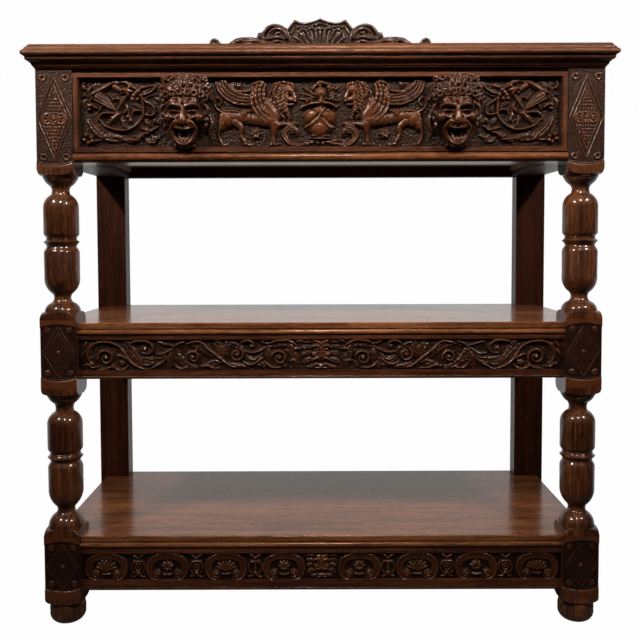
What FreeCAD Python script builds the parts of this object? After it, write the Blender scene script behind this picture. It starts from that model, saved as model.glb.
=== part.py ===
import FreeCAD, Part
import math
import os

Vector = FreeCAD.Vector

# A carved three-tier serving sideboard: two turned and blocked front legs, two plain rear posts,
# a frieze with one drawer, two open shelves below it, and a low gallery with a carved crest.
# Millimetres, +Z up. X runs along the front and -Y is the front. The origin lies on the floor,
# at the centre of the overall box.

# Overall sizes
leg_span = 1092.0
carcase_depth = 468.0
top_height = 1134.0
middle_shelf_height = 600.5
bottom_shelf_height = 177.5

# Front legs, turned from square stock
leg_stock = 70.0
foot_height = 43.0
foot_shoulder = 11.0
block_shoulder = 14.0
middle_block_rise = 6.5
bottom_block_rise = 0.5
middle_block_drop = 17.5
turning_margin = 0.4
foot_radius = 34.6
foot_base_radius = 22.0
foot_neck_radius = 30.0
foot_dowel_radius = 11.0
foot_dowel_length = 26.0

# Rear posts
post_width = 69.0
post_thickness = 43.0

# Top and cornice
top_thickness = 24.0
top_projection = 21.0
cornice_height = 19.6
cornice_projection = 14.5
cornice_width = 75.0

# Gallery on the back of the top
gallery_height = 88.0
gallery_thickness = 20.0
gallery_corner = 46.0
gallery_cap_height = 8.0
gallery_cap_depth = 28.0

# Carved crest on the gallery
crest_width = 546.0
crest_height = 75.0
crest_thickness = 20.0
crest_relief = 7.0
shell_rib_count = 9
shell_rib_radius = 6.0
shell_foot_radius = 3.0
volute_radius = 30.0
volute_eye_radius = 12.0
curl_radius = 13.0

# Shelves and their aprons
shelf_thickness = 25.0
shelf_setback = 8.0
shelf_side_inset = 12.0
apron_height = 86.0
apron_thickness = 22.0
apron_setback = 12.0
apron_side_inset = 16.0
apron_field_depth = 6.0
middle_apron_bands = (17.0, 8.0)
bottom_apron_bands = (21.0, 11.0)
apron_bead = 7.0
apron_bead_depth = 3.5
rear_rail_height = 70.0
rear_rail_thickness = 20.0
rear_rail_inset = 8.0

# Frieze round the drawer
frieze_side_thickness = 24.0
frieze_side_height = 172.0
frieze_back_height = 176.0
drawer_rail_height = 28.3
drawer_rail_setback = 6.0
drawer_rail_bead = 16.0
drawer_rail_quirk = 2.0
top_rail_height = 6.4
top_rail_setback = 8.0
runner_thickness = 13.6
runner_bearing = 9.9
guide_width = 20.0
guide_height = 20.0
kicker_height = 18.0
stop_height = 6.0
stop_length = 50.0
stop_width = 14.0
stop_distance = 250.0
stop_gap = 0.3

# Drawer
drawer_front_height = 151.0
drawer_side_play = 1.5
drawer_foot_play = 1.4
drawer_head_play = 2.0
drawer_running_gap = 0.3
drawer_setback = 3.0
drawer_bead_depth = 12.0
drawer_bead_width = 10.0
drawer_bead_chamfer = 4.0
drawer_panel_thickness = 4.0
drawer_front_thickness = 18.0
drawer_side_thickness = 12.0
drawer_side_height = 140.0
drawer_length = 400.0
drawer_back_thickness = 12.0
drawer_back_inset = 6.0
drawer_back_drop = 8.0
drawer_bottom_thickness = 8.0
drawer_bottom_lift = 10.0
drawer_groove = 5.0
dovetail_count = 4
dovetail_lap = 12.0
dovetail_wide = 26.0
dovetail_narrow = 19.0

# Masks, the drawer's two pulls
mask_reach = 38.0
mask_width = 100.0
mask_height = 146.0
mask_lift = 4.0
mask_distance = 260.0
mask_curl_radius = 11.0
mask_curl_count = 9

# Joinery and fixings
tenon_length = 30.0
tenon_thickness = 8.0
tenon_shoulder = 7.0
post_tenon_length = 22.0
mortise_gap = 2.0
screw_radius = 2.2
screw_head_radius = 4.6
top_screw_length = 34.0
fixing_inset = 86.0
mask_screw_length = 44.0
gallery_screw_length = 64.0
crest_dowel_radius = 4.0
crest_dowel_length = 36.0
crest_dowel_distance = 110.0
glue_block_side = 20.0
glue_block_length = 46.0
overrun = 2.0

# Outlines in shares. An edge is (out, up), a turning is (up the turned length, radius over the
# stock), and a pair of pairs is an arc through the first to the second.
top_edge_shares = [(0.70, 0.0), (0.90, 0.10), ((1.0, 0.28), (0.93, 0.44)), (0.79, 0.53),
                   (0.73, 0.60), (0.69, 0.70), (0.57, 0.77), (0.53, 0.84), (0.38, 1.0)]
cornice_edge_shares = [(0.07, 0.0), (0.14, 0.14), (0.27, 0.17), ((0.45, 0.45), (0.72, 0.60)),
                       (0.87, 0.66), ((1.0, 0.83), (0.96, 1.0))]
shelf_edge_shares = [(-0.20, 0.0), (-0.20, 0.04), ((0.0, 0.25), (-0.20, 0.46)), (-0.20, 0.51),
                     (-0.08, 0.55), (-0.04, 0.94), (-0.08, 1.0)]
upper_turning_shares = [
    (0.0, 0.493), ((0.040, 0.440), (0.068, 0.300)), ((0.100, 0.232), (0.135, 0.275)),
    ((0.172, 0.405), (0.262, 0.473)), (0.440, 0.473), (0.455, 0.453), (0.478, 0.384),
    (0.507, 0.457), (0.537, 0.386), (0.566, 0.457), (0.577, 0.469), (0.764, 0.469),
    ((0.830, 0.405), (0.862, 0.286)), ((0.896, 0.239), (0.930, 0.300)),
    ((0.950, 0.385), (0.978, 0.443)), (0.982, 0.464), (1.0, 0.480)]
lower_turning_shares = [
    (0.0, 0.493), ((0.060, 0.437), (0.098, 0.300)), ((0.128, 0.241), (0.162, 0.300)),
    ((0.200, 0.407), (0.290, 0.474)), (0.450, 0.474), (0.470, 0.450), (0.490, 0.404),
    (0.522, 0.464), (0.556, 0.407), (0.580, 0.464), (0.592, 0.483), (0.775, 0.483),
    ((0.832, 0.415), (0.862, 0.286)), ((0.894, 0.250), (0.930, 0.293)),
    ((0.953, 0.390), (0.982, 0.440)), (0.985, 0.464), (1.0, 0.480)]
round_shoulder_share = math.sqrt(0.5)
fixing_shares = (-1, -1 / 3, 1 / 3, 1)

# Right half of the crest in shares of its half width and height, from the centre's foot
crest_outline_shares = [
    (0.0, 0.0), (1.0, 0.0), (1.0, 0.18), ((0.96, 0.335), (0.897, 0.18)), (0.828, 0.14),
    ((0.76, 0.32), (0.68, 0.37)), (0.60, 0.35), (0.573, 0.39), (0.551, 0.52), (0.516, 0.54),
    ((0.421, 0.795), (0.297, 0.653)), (0.233, 0.92), ((0.13, 0.83), (0.0, 1.0))]
shell_rim_shares = (0.233, 0.93)
shell_crown_share = 0.93
shell_centre_share = 0.10
volute_place_shares = (0.42, 0.36)
leaf_path_shares = [(0.56, 0.16), ((0.72, 0.30), (0.86, 0.10))]
curl_place_shares = (0.945, 0.14)

# Mask sections from chin to crown: height, half width, depth, in shares of the mask's sizes
mask_section_shares = [
    (0.00, 0.14, 0.40), (0.06, 0.24, 0.62), (0.16, 0.30, 0.72), (0.30, 0.34, 0.74),
    (0.44, 0.39, 0.75), (0.56, 0.40, 0.66), (0.64, 0.40, 0.76), (0.72, 0.38, 0.78),
    (0.84, 0.36, 0.66), (0.96, 0.26, 0.44)]
mask_cheek_share = 0.42
nose_section_shares = [(0.63, 0.05, 0.80), (0.48, 0.10, 0.97), (0.43, 0.14, 1.00), (0.39, 0.12, 0.86)]
nose_foot_share = 0.5
brow_shares = [(0.05, 0.645, 0.76), (0.24, 0.700, 0.70), (0.36, 0.660, 0.54)]
brow_radius_share = 0.055
eye_place_shares = (0.17, 0.585, 0.62)
eye_radius_share = 0.075
cheek_place_shares = (0.24, 0.46, 0.60)
cheek_radius_share = 0.13
mouth_place_shares = (0.0, 0.235)
mouth_width_share = 0.32
mouth_height_share = 0.20
mouth_depth_share = 0.42
hair_centre_share = 0.60
hair_arc_share = 1.1
hair_width_share = 0.385
hair_rise_share = 0.30
hair_depth_share = 0.40
whisker_shares = [(0.40, 0.36, 0.26), (0.38, 0.22, 0.24), (0.31, 0.10, 0.30)]
mask_screw_shares = (0.45, 0.75)

# Faces and levels worked out from the sizes above
half_span = leg_span / 2
leg_face_y = (mask_reach - carcase_depth) / 2
back_y = leg_face_y + carcase_depth
leg_back_y = leg_face_y + leg_stock
leg_inner_x = half_span - leg_stock
leg_axis_x = half_span - leg_stock / 2
leg_axis_y = leg_face_y + leg_stock / 2
post_inner_x = half_span - post_width
fixing_places = [share * (leg_inner_x - fixing_inset) for share in fixing_shares]
post_front_y = back_y - post_thickness
cornice_top_z = top_height - top_thickness
frieze_top_z = cornice_top_z - cornice_height
gallery_top_z = top_height + gallery_height
crest_foot_z = gallery_top_z + gallery_cap_height
drawer_head_z = frieze_top_z - top_rail_height - drawer_head_play
drawer_foot_z = drawer_head_z - drawer_front_height
drawer_rail_top_z = drawer_foot_z - drawer_foot_play
drawer_rail_foot_z = drawer_rail_top_z - drawer_rail_height
middle_shelf_foot_z = middle_shelf_height - shelf_thickness
bottom_shelf_foot_z = bottom_shelf_height - shelf_thickness
middle_apron_foot_z = middle_shelf_foot_z - apron_height
bottom_apron_foot_z = bottom_shelf_foot_z - apron_height
drawer_face_y = leg_face_y + drawer_setback
drawer_board_y = drawer_face_y + drawer_bead_depth
drawer_panel_y = drawer_board_y - drawer_panel_thickness
drawer_inner_y = drawer_board_y + drawer_front_thickness
drawer_half_width = leg_inner_x - drawer_side_play
drawer_side_inner_x = drawer_half_width - drawer_side_thickness
drawer_side_foot_z = drawer_rail_top_z + drawer_running_gap
drawer_side_head_z = drawer_side_foot_z + drawer_side_height
drawer_end_y = drawer_inner_y + drawer_length
drawer_back_y = drawer_end_y - drawer_back_inset
drawer_bottom_foot_z = drawer_side_foot_z + drawer_bottom_lift
drawer_bottom_head_z = drawer_bottom_foot_z + drawer_bottom_thickness
drawer_back_head_z = drawer_side_head_z - drawer_back_drop
runner_inner_x = leg_inner_x - runner_bearing
mask_depth = drawer_panel_y - leg_face_y + mask_reach
mask_foot_z = drawer_foot_z + mask_lift
crest_face_y = back_y - crest_thickness


# Drawing helpers

def box(x_low, x_high, y_low, y_high, z_low, z_high):
    corner = Vector(x_low, y_low, z_low)
    return Part.makeBox(x_high - x_low, y_high - y_low, z_high - z_low, corner)


def mirrored(shape):
    """The same shape on the other side of the middle plane."""
    return shape.mirror(Vector(0, 0, 0), Vector(1, 0, 0))


def end_point(item):
    return item[1] if isinstance(item[0], tuple) else item


def drawn(points, to_vector):
    """A closed flat face through the points, where a pair of pairs is an arc."""
    edges = []
    here = points[0]
    for item in points[1:]:
        end = end_point(item)
        if isinstance(item[0], tuple):
            arc = Part.Arc(to_vector(here), to_vector(item[0]), to_vector(end))
            edges.append(arc.toShape())
        else:
            edges.append(Part.makeLine(to_vector(here), to_vector(end)))
        here = end
    if here != points[0]:
        edges.append(Part.makeLine(to_vector(here), to_vector(points[0])))
    return Part.Face(Part.Wire(edges))


def placed(points, move):
    """The same outline with every point, and every arc's middle, put through move."""
    result = []
    for item in points:
        if isinstance(item[0], tuple):
            result.append((move(item[0]), move(item[1])))
        else:
            result.append(move(item))
    return result


def prism_along_x(points, x_low, x_high):
    face = drawn(points, lambda point: Vector(x_low, point[0], point[1]))
    return face.extrude(Vector(x_high - x_low, 0, 0))


def prism_along_y(points, y_low, y_high):
    face = drawn(points, lambda point: Vector(point[0], y_low, point[1]))
    return face.extrude(Vector(0, y_high - y_low, 0))


def prism_along_z(points, z_low, z_high):
    face = drawn(points, lambda point: Vector(point[0], point[1], z_low))
    return face.extrude(Vector(0, 0, z_high - z_low))


def turned(points, x, y):
    """A solid turned about an upright axis, from (radius, height) points."""
    face = drawn(points, lambda point: Vector(x + point[0], y, point[1]))
    return face.revolve(Vector(x, y, 0), Vector(0, 0, 1), 360)


def joined(shapes):
    return shapes[0].multiFuse(shapes[1:]).removeSplitter()


# A board with the same moulding worked on its front and both ends

def moulded_board(half_width, front_y, foot_z, edge):
    """edge runs from the foot up, in (out, up) from the board's own face and foot."""
    head_z = foot_z + end_point(edge[-1])[1]
    front = [(back_y, foot_z)]
    front += placed(edge, lambda point: (front_y - point[0], foot_z + point[1]))
    front += [(back_y, head_z)]
    end = [(-leg_span, foot_z)]
    end += placed(edge, lambda point: (half_width + point[0], foot_z + point[1]))
    end += [(-leg_span, head_z)]
    front_prism = prism_along_x(front, -leg_span, leg_span)
    end_prism = prism_along_y(end, leg_face_y - leg_span, back_y)
    return front_prism.common(end_prism).common(mirrored(end_prism))


def edge_from(shares, projection, height):
    return placed(shares, lambda point: (point[0] * projection, point[1] * height))


# Tenoned rails. Each gives the rail and the solid that its mortises are cut with

def rail_along_x(body, reach, y_middle, z_low, z_high, length):
    y_low = y_middle - tenon_thickness / 2
    y_high = y_middle + tenon_thickness / 2
    low = z_low + tenon_shoulder
    high = z_high - tenon_shoulder
    tenons = box(-reach - length, reach + length, y_low, y_high, low, high)
    slot = reach + length + mortise_gap
    mortises = box(-slot, slot, y_low, y_high, low, high)
    return joined([body, tenons]), mortises


def rail_along_y(body, x_middle, z_low, z_high):
    x_low = x_middle - tenon_thickness / 2
    x_high = x_middle + tenon_thickness / 2
    low = z_low + tenon_shoulder
    high = z_high - tenon_shoulder
    front = leg_back_y - tenon_length
    rear = post_front_y + post_tenon_length
    tenons = box(x_low, x_high, front, rear, low, high)
    mortises = box(x_low, x_high, front - mortise_gap, rear + mortise_gap, low, high)
    return joined([body, tenons]), mortises


# Screws, with the holes that they are driven into

def screw(place, direction, length):
    head_length = screw_head_radius - screw_radius
    head = Part.makeCone(screw_head_radius, screw_radius, head_length, place, direction)
    shank = Part.makeCylinder(screw_radius, length, place, direction)
    return joined([head, shank])


# Front legs and their feet

def block_levels():
    """The square blocks, from the lowest up, as (foot, head) where the stock is full."""
    low = (foot_height + foot_shoulder, bottom_shelf_height + bottom_block_rise)
    middle = (middle_apron_foot_z - middle_block_drop, middle_shelf_height + middle_block_rise)
    top = (drawer_rail_foot_z, frieze_top_z)
    return low, middle, top


def shoulder(low_radius, low_z, high_radius, high_z, rising):
    """The rounded end that turning leaves on a square block, as one arc."""
    radius_step = high_radius - low_radius
    height_step = high_z - low_z
    if rising:
        middle = (low_radius + radius_step * round_shoulder_share,
                  low_z + height_step * (1 - round_shoulder_share))
    else:
        middle = (low_radius + radius_step * (1 - round_shoulder_share),
                  low_z + height_step * round_shoulder_share)
    return middle, (high_radius, high_z)


def leg_outline():
    """Half of the leg's turned outline, from the axis at the foot to the axis at the top."""
    low, middle, top = block_levels()
    corner = leg_stock / 2 * math.sqrt(2) + turning_margin
    foot_end = leg_stock * lower_turning_shares[0][1]
    points = [(0, foot_height), (foot_end, foot_height)]
    points.append(shoulder(foot_end, foot_height, corner, low[0], True))
    points.append((corner, low[1]))
    stretches = [(low[1], middle[0], lower_turning_shares), (middle[1], top[0], upper_turning_shares)]
    for block_head, next_foot, shares in stretches:
        start = block_head + block_shoulder
        length = next_foot - block_shoulder - start
        turning = placed(shares, lambda share: (share[1] * leg_stock, start + share[0] * length))
        points.append(shoulder(corner, block_head, turning[0][0], start, False))
        points += turning[1:]
        end_radius = turning[-1][0]
        points.append(shoulder(end_radius, next_foot - block_shoulder, corner, next_foot, True))
        points.append((corner, top[1] if next_foot == top[0] else middle[1]))
    points.append((0, top[1]))
    return points


def front_leg(mortises):
    """The right leg: the square stock kept only where it lies inside the turning."""
    square = box(leg_inner_x, half_span, leg_face_y, leg_back_y, foot_height, frieze_top_z)
    leg = square.common(turned(leg_outline(), leg_axis_x, leg_axis_y))
    bore_length = foot_dowel_length + mortise_gap
    bore_start = Vector(leg_axis_x, leg_axis_y, foot_height)
    bore = Part.makeCylinder(foot_dowel_radius, bore_length, bore_start)
    return leg.cut(bore).cut(mortises)


def front_foot():
    """A turned ball foot with its dowel, under the right leg."""
    belly_z = foot_height / 2
    points = [(0, 0), (foot_base_radius, 0)]
    lower_middle = (foot_base_radius + (foot_radius - foot_base_radius) * round_shoulder_share,
                    belly_z * (1 - round_shoulder_share))
    points.append((lower_middle, (foot_radius, belly_z)))
    upper_middle = (foot_neck_radius + (foot_radius - foot_neck_radius) * round_shoulder_share,
                    belly_z + belly_z * round_shoulder_share)
    points.append((upper_middle, (foot_neck_radius, foot_height)))
    points.append((foot_dowel_radius, foot_height))
    points.append((foot_dowel_radius, foot_height + foot_dowel_length))
    points.append((0, foot_height + foot_dowel_length))
    return turned(points, leg_axis_x, leg_axis_y)


def rear_post(mortises):
    post = box(post_inner_x, half_span, post_front_y, back_y, 0, frieze_top_z)
    return post.cut(mortises)


# Top, cornice frame and gallery

def cornice_pieces():
    """Front, right and back pieces of the cornice frame, mitred at the front corners."""
    edge = edge_from(cornice_edge_shares, cornice_projection, cornice_height)
    whole = moulded_board(half_span, leg_face_y, frieze_top_z, edge)
    reach = cornice_projection + overrun
    outer_x = half_span + reach
    outer_y = leg_face_y - reach
    inner_x = half_span - cornice_width
    inner_y = leg_face_y + cornice_width
    back_inner_y = back_y - cornice_width
    levels = (frieze_top_z - overrun, cornice_top_z + overrun)
    front_plan = [(-outer_x, outer_y), (outer_x, outer_y), (inner_x, inner_y), (-inner_x, inner_y)]
    end_plan = [(outer_x, outer_y), (outer_x, back_y), (inner_x, back_y), (inner_x, inner_y)]
    front = whole.common(prism_along_z(front_plan, *levels))
    end = whole.common(prism_along_z(end_plan, *levels))
    back = box(-inner_x, inner_x, back_inner_y, back_y, frieze_top_z, cornice_top_z)
    return front, end, back


def top_board():
    edge = edge_from(top_edge_shares, top_projection, top_thickness)
    return moulded_board(half_span, leg_face_y, cornice_top_z, edge)


def top_screws():
    """Screws up through the cornice frame into the top, clear of the legs."""
    middle_front_y = leg_face_y + cornice_width - 2 * screw_head_radius
    middle_back_y = back_y - cornice_width / 2
    places = []
    for x in fixing_places:
        places.append(Vector(x, middle_front_y, frieze_top_z))
        places.append(Vector(x, middle_back_y, frieze_top_z))
    return [screw(place, Vector(0, 0, 1), top_screw_length) for place in places]


def gallery_board():
    """The low upright board on the back of the top, its ends rounded down."""
    half = half_span
    corner = gallery_corner
    bend = corner * round_shoulder_share
    points = [(-half, top_height), (half, top_height), (half, gallery_top_z - corner)]
    points.append(((half - corner + bend, gallery_top_z - corner + bend),
                   (half - corner, gallery_top_z)))
    points.append((corner - half, gallery_top_z))
    points.append(((corner - bend - half, gallery_top_z - corner + bend),
                   (-half, gallery_top_z - corner)))
    return prism_along_y(points, back_y - gallery_thickness, back_y)


def gallery_cap():
    """A rounded nosing along the straight part of the gallery's head."""
    half = half_span - gallery_corner
    front_y = back_y - gallery_cap_depth
    nose_radius = gallery_cap_height / 2
    points = [(back_y, gallery_top_z), (front_y + nose_radius, gallery_top_z)]
    points.append(((front_y, gallery_top_z + nose_radius),
                   (front_y + nose_radius, gallery_top_z + gallery_cap_height)))
    points.append((back_y, gallery_top_z + gallery_cap_height))
    return prism_along_x(points, -half, half)


def gallery_screws():
    """Screws up through the top into the foot of the gallery."""
    middle_y = back_y - gallery_thickness / 2
    places = [Vector(x, middle_y, cornice_top_z) for x in (fixing_places[0], 0, fixing_places[-1])]
    return [screw(place, Vector(0, 0, 1), gallery_screw_length) for place in places]


def crest_dowels():
    middle_y = back_y - crest_thickness / 2
    foot_z = crest_foot_z - crest_dowel_length / 2
    return [Part.makeCylinder(crest_dowel_radius, crest_dowel_length, Vector(x, middle_y, foot_z))
            for x in (-crest_dowel_distance, crest_dowel_distance)]


# The crest: a sawn board with a fan shell, two rolled volutes, leaves and end curls in relief

def crest_point(share):
    return share[0] * crest_width / 2, crest_foot_z + share[1] * crest_height


def fan_shell():
    """Tapered ribs that fan out from the foot of the shell to its rim."""
    centre_z = crest_foot_z + shell_centre_share * crest_height
    rim_x = shell_rim_shares[0] * crest_width / 2
    rim_z = crest_foot_z + shell_rim_shares[1] * crest_height
    crown_z = crest_foot_z + shell_crown_share * crest_height
    ribs = []
    for number in range(shell_rib_count):
        turn = 2 * number / (shell_rib_count - 1) - 1
        x = rim_x * turn
        z = crown_z + (rim_z - crown_z) * abs(turn)
        start = Vector(0, crest_face_y, centre_z)
        along = Vector(x, 0, z - centre_z - shell_rib_radius)
        ribs.append(Part.makeCone(shell_foot_radius, shell_rib_radius, along.Length, start, along))
    return ribs


def crest_relief_half():
    """The volute, leaf and end curl on the right of the shell."""
    forward = Vector(0, -1, 0)
    x, z = crest_point(volute_place_shares)
    volute = Part.makeCone(volute_radius, volute_radius - crest_relief, crest_relief,
                           Vector(x, crest_face_y, z), forward)
    eye = Part.makeSphere(volute_eye_radius, Vector(x, crest_face_y - crest_relief, z))
    x, z = crest_point(curl_place_shares)
    curl = Part.makeCone(curl_radius, curl_radius - crest_relief, crest_relief,
                         Vector(x, crest_face_y, z), forward)
    start, bend = leaf_path_shares
    points = [crest_point(start), crest_point(bend[0]), crest_point(bend[1])]
    line = Part.Arc(*[Vector(px, crest_face_y, pz) for px, pz in points]).toShape()
    begin = line.valueAt(line.FirstParameter)
    ring = Part.makeCircle(crest_relief, begin, line.tangentAt(line.FirstParameter))
    leaf = Part.Wire([line]).makePipeShell([Part.Wire([ring])], True, False)
    return [volute, eye, curl, leaf]


def crest():
    half_points = placed(crest_outline_shares, crest_point)
    half_board = prism_along_y(half_points, crest_face_y, back_y)
    relief = crest_relief_half()
    raised = fan_shell() + relief + [mirrored(shape) for shape in relief]
    front_y = crest_face_y - crest_relief - volute_eye_radius
    slab = box(-crest_width / 2, crest_width / 2, front_y, back_y,
               crest_foot_z, crest_foot_z + crest_height)
    board = joined([half_board, mirrored(half_board)])
    return joined([board] + [shape.common(slab) for shape in raised])


# Shelves and aprons

def shelf(foot_z):
    """One shelf, moulded on its front and ends and notched round the legs and posts."""
    edge = edge_from(shelf_edge_shares, shelf_thickness, shelf_thickness)
    half_width = half_span - shelf_side_inset
    board = moulded_board(half_width, leg_face_y + shelf_setback, foot_z, edge)
    levels = (foot_z - overrun, foot_z + shelf_thickness + overrun)
    leg_notch = box(leg_inner_x, half_span, leg_face_y - overrun, leg_back_y, *levels)
    post_notch = box(post_inner_x, half_span, post_front_y, back_y + overrun, *levels)
    notches = joined([leg_notch, post_notch, mirrored(leg_notch), mirrored(post_notch)])
    return board.cut(notches)


def front_apron(foot_z, bands):
    """A tenoned apron with a sunk field for carving and a bead along its foot."""
    bottom_band, top_band = bands
    face_y = leg_face_y + apron_setback
    rear_y = face_y + apron_thickness
    head_z = foot_z + apron_height
    field_y = face_y + apron_field_depth
    bead_radius = apron_bead / 2
    points = [(rear_y, foot_z), (face_y + apron_bead_depth, foot_z)]
    points.append(((face_y, foot_z + bead_radius), (face_y + apron_bead_depth, foot_z + apron_bead)))
    points.append((face_y, foot_z + apron_bead))
    points.append((face_y, foot_z + bottom_band))
    points.append((field_y, foot_z + bottom_band))
    points.append((field_y, head_z - top_band))
    points.append((face_y, head_z - top_band))
    points.append((face_y, head_z))
    points.append((rear_y, head_z))
    body = prism_along_x(points, -leg_inner_x, leg_inner_x)
    middle_y = (field_y + rear_y) / 2
    return rail_along_x(body, leg_inner_x, middle_y, foot_z, head_z, tenon_length)


def side_apron(foot_z):
    outer_x = half_span - apron_side_inset
    inner_x = outer_x - apron_thickness
    head_z = foot_z + apron_height
    body = box(inner_x, outer_x, leg_back_y, post_front_y, foot_z, head_z)
    return rail_along_y(body, (inner_x + outer_x) / 2, foot_z, head_z)


def rear_rail(head_z, height):
    rear_y = back_y - rear_rail_inset
    front_y = rear_y - rear_rail_thickness
    foot_z = head_z - height
    body = box(-post_inner_x, post_inner_x, front_y, rear_y, foot_z, head_z)
    middle_y = (front_y + rear_y) / 2
    return rail_along_x(body, post_inner_x, middle_y, foot_z, head_z, tenon_length)


def glue_blocks(shelf_foot_z):
    """Three-sided blocks rubbed into the corner between the front apron and the shelf."""
    inner_y = leg_face_y + apron_setback + apron_thickness
    points = [(inner_y, shelf_foot_z), (inner_y + glue_block_side, shelf_foot_z),
              (inner_y, shelf_foot_z - glue_block_side)]
    blocks = []
    for x in fixing_places:
        blocks.append(prism_along_x(points, x - glue_block_length / 2, x + glue_block_length / 2))
    return blocks


# Frieze

def frieze_side():
    inner_x = half_span - frieze_side_thickness
    foot_z = frieze_top_z - frieze_side_height
    body = box(inner_x, half_span, leg_back_y, post_front_y, foot_z, frieze_top_z)
    return rail_along_y(body, (inner_x + half_span) / 2, foot_z, frieze_top_z)


def drawer_rail():
    """The rail under the drawer, with a bold bead worked along its front."""
    face_y = leg_face_y + drawer_rail_setback
    bead_foot_z = drawer_rail_top_z - drawer_rail_bead
    bead_middle_z = drawer_rail_top_z - drawer_rail_bead / 2
    points = [(leg_back_y, drawer_rail_foot_z), (face_y, drawer_rail_foot_z)]
    points.append((face_y, bead_foot_z - drawer_rail_quirk))
    points.append((face_y + drawer_rail_quirk, bead_foot_z))
    points.append(((leg_face_y, bead_middle_z), (face_y + drawer_rail_quirk, drawer_rail_top_z)))
    points.append((leg_back_y, drawer_rail_top_z))
    body = prism_along_x(points, -leg_inner_x, leg_inner_x)
    middle_y = (leg_face_y + leg_back_y) / 2
    return rail_along_x(body, leg_inner_x, middle_y, drawer_rail_foot_z, drawer_rail_top_z,
                        tenon_length)


def top_rail():
    return box(-leg_inner_x, leg_inner_x, leg_face_y + top_rail_setback, leg_back_y,
               frieze_top_z - top_rail_height, frieze_top_z)


def runner():
    inner_wall_x = half_span - frieze_side_thickness
    return box(runner_inner_x, inner_wall_x, leg_back_y, post_front_y,
               drawer_rail_top_z - runner_thickness, drawer_rail_top_z)


def guide():
    return box(leg_inner_x, leg_inner_x + guide_width, leg_back_y, post_front_y,
               drawer_rail_top_z, drawer_rail_top_z + guide_height)


def kicker():
    inner_wall_x = half_span - frieze_side_thickness
    return box(runner_inner_x, inner_wall_x, leg_back_y, post_front_y,
               frieze_top_z - kicker_height, frieze_top_z)


def drawer_stops():
    """Two small blocks on the rail that the back of the drawer front closes against."""
    front_y = drawer_inner_y + stop_gap
    stop = box(stop_distance - stop_length / 2, stop_distance + stop_length / 2, front_y,
               front_y + stop_width, drawer_rail_top_z, drawer_rail_top_z + stop_height)
    return [stop, mirrored(stop)]


# Drawer

def dovetails():
    """The tails on the front end of the right drawer side, as solids."""
    pitch = drawer_side_height / dovetail_count
    end_y = drawer_inner_y - dovetail_lap
    tails = []
    for number in range(dovetail_count):
        z = drawer_side_foot_z + pitch * (number + 0.5)
        points = [(end_y, z - dovetail_wide / 2), (end_y, z + dovetail_wide / 2),
                  (drawer_inner_y, z + dovetail_narrow / 2), (drawer_inner_y, z - dovetail_narrow / 2)]
        tails.append(prism_along_x(points, drawer_side_inner_x, drawer_half_width))
    return tails


def drawer_side():
    board = box(drawer_side_inner_x, drawer_half_width, drawer_inner_y, drawer_end_y,
                drawer_side_foot_z, drawer_side_head_z)
    return joined([board] + dovetails()).cut(bottom_groove()).cut(back_housing())


def bottom_groove():
    """The space that the drawer's bottom board fills, grooves included."""
    reach = drawer_side_inner_x + drawer_groove
    return box(-reach, reach, drawer_inner_y - drawer_groove, drawer_end_y,
               drawer_bottom_foot_z, drawer_bottom_head_z)


def back_housing():
    """The space that the drawer's back fills, housings included."""
    reach = drawer_side_inner_x + drawer_groove
    return box(-reach, reach, drawer_back_y - drawer_back_thickness, drawer_back_y,
               drawer_bottom_head_z, drawer_back_head_z)


def drawer_front():
    board = box(-drawer_half_width, drawer_half_width, drawer_board_y, drawer_inner_y,
                drawer_foot_z, drawer_head_z)
    tails = dovetails()
    sockets = joined(tails + [mirrored(tail) for tail in tails])
    return board.cut(sockets).cut(bottom_groove())


def drawer_panel():
    """The ground of the carving, planted on the drawer front inside the four beads."""
    half_width = drawer_half_width - drawer_bead_width
    return box(-half_width, half_width, drawer_panel_y, drawer_board_y,
               drawer_foot_z + drawer_bead_width, drawer_head_z - drawer_bead_width)


def drawer_beads():
    """Head, foot and right strips of the frame round the panel, mitred at the corners."""
    inner_y = drawer_face_y + drawer_bead_chamfer
    width = drawer_bead_width
    slope = drawer_bead_chamfer / 2
    foot = [(drawer_board_y, drawer_foot_z), (drawer_face_y, drawer_foot_z),
            (drawer_face_y, drawer_foot_z + width - slope), (inner_y, drawer_foot_z + width),
            (drawer_board_y, drawer_foot_z + width)]
    middle_z = (drawer_foot_z + drawer_head_z) / 2
    foot_strip = prism_along_x(foot, -drawer_half_width, drawer_half_width)
    head_strip = foot_strip.mirror(Vector(0, 0, middle_z), Vector(0, 0, 1))
    edge_x = drawer_half_width
    upright_plan = [(edge_x, drawer_board_y), (edge_x, drawer_face_y),
                    (edge_x - width + slope, drawer_face_y), (edge_x - width, inner_y),
                    (edge_x - width, drawer_board_y)]
    upright = prism_along_z(upright_plan, drawer_foot_z, drawer_head_z)
    inner_x = drawer_half_width - width
    mitre = [(inner_x, drawer_foot_z + width), (edge_x, drawer_foot_z), (edge_x, drawer_head_z),
             (inner_x, drawer_head_z - width)]
    corner = prism_along_y(mitre, drawer_face_y - overrun, drawer_board_y + overrun)
    corners = joined([corner, mirrored(corner)])
    return head_strip.cut(corners), foot_strip.cut(corners), upright.common(corner)


def drawer_back():
    return back_housing()


def drawer_bottom():
    return bottom_groove()


# Masks. The right one is modelled about its own middle plane and set in place

def mask_point(width_share, height_share, depth_share):
    return Vector(mask_distance + width_share * mask_width,
                  drawer_panel_y - depth_share * mask_depth,
                  mask_foot_z + height_share * mask_height)


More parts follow.
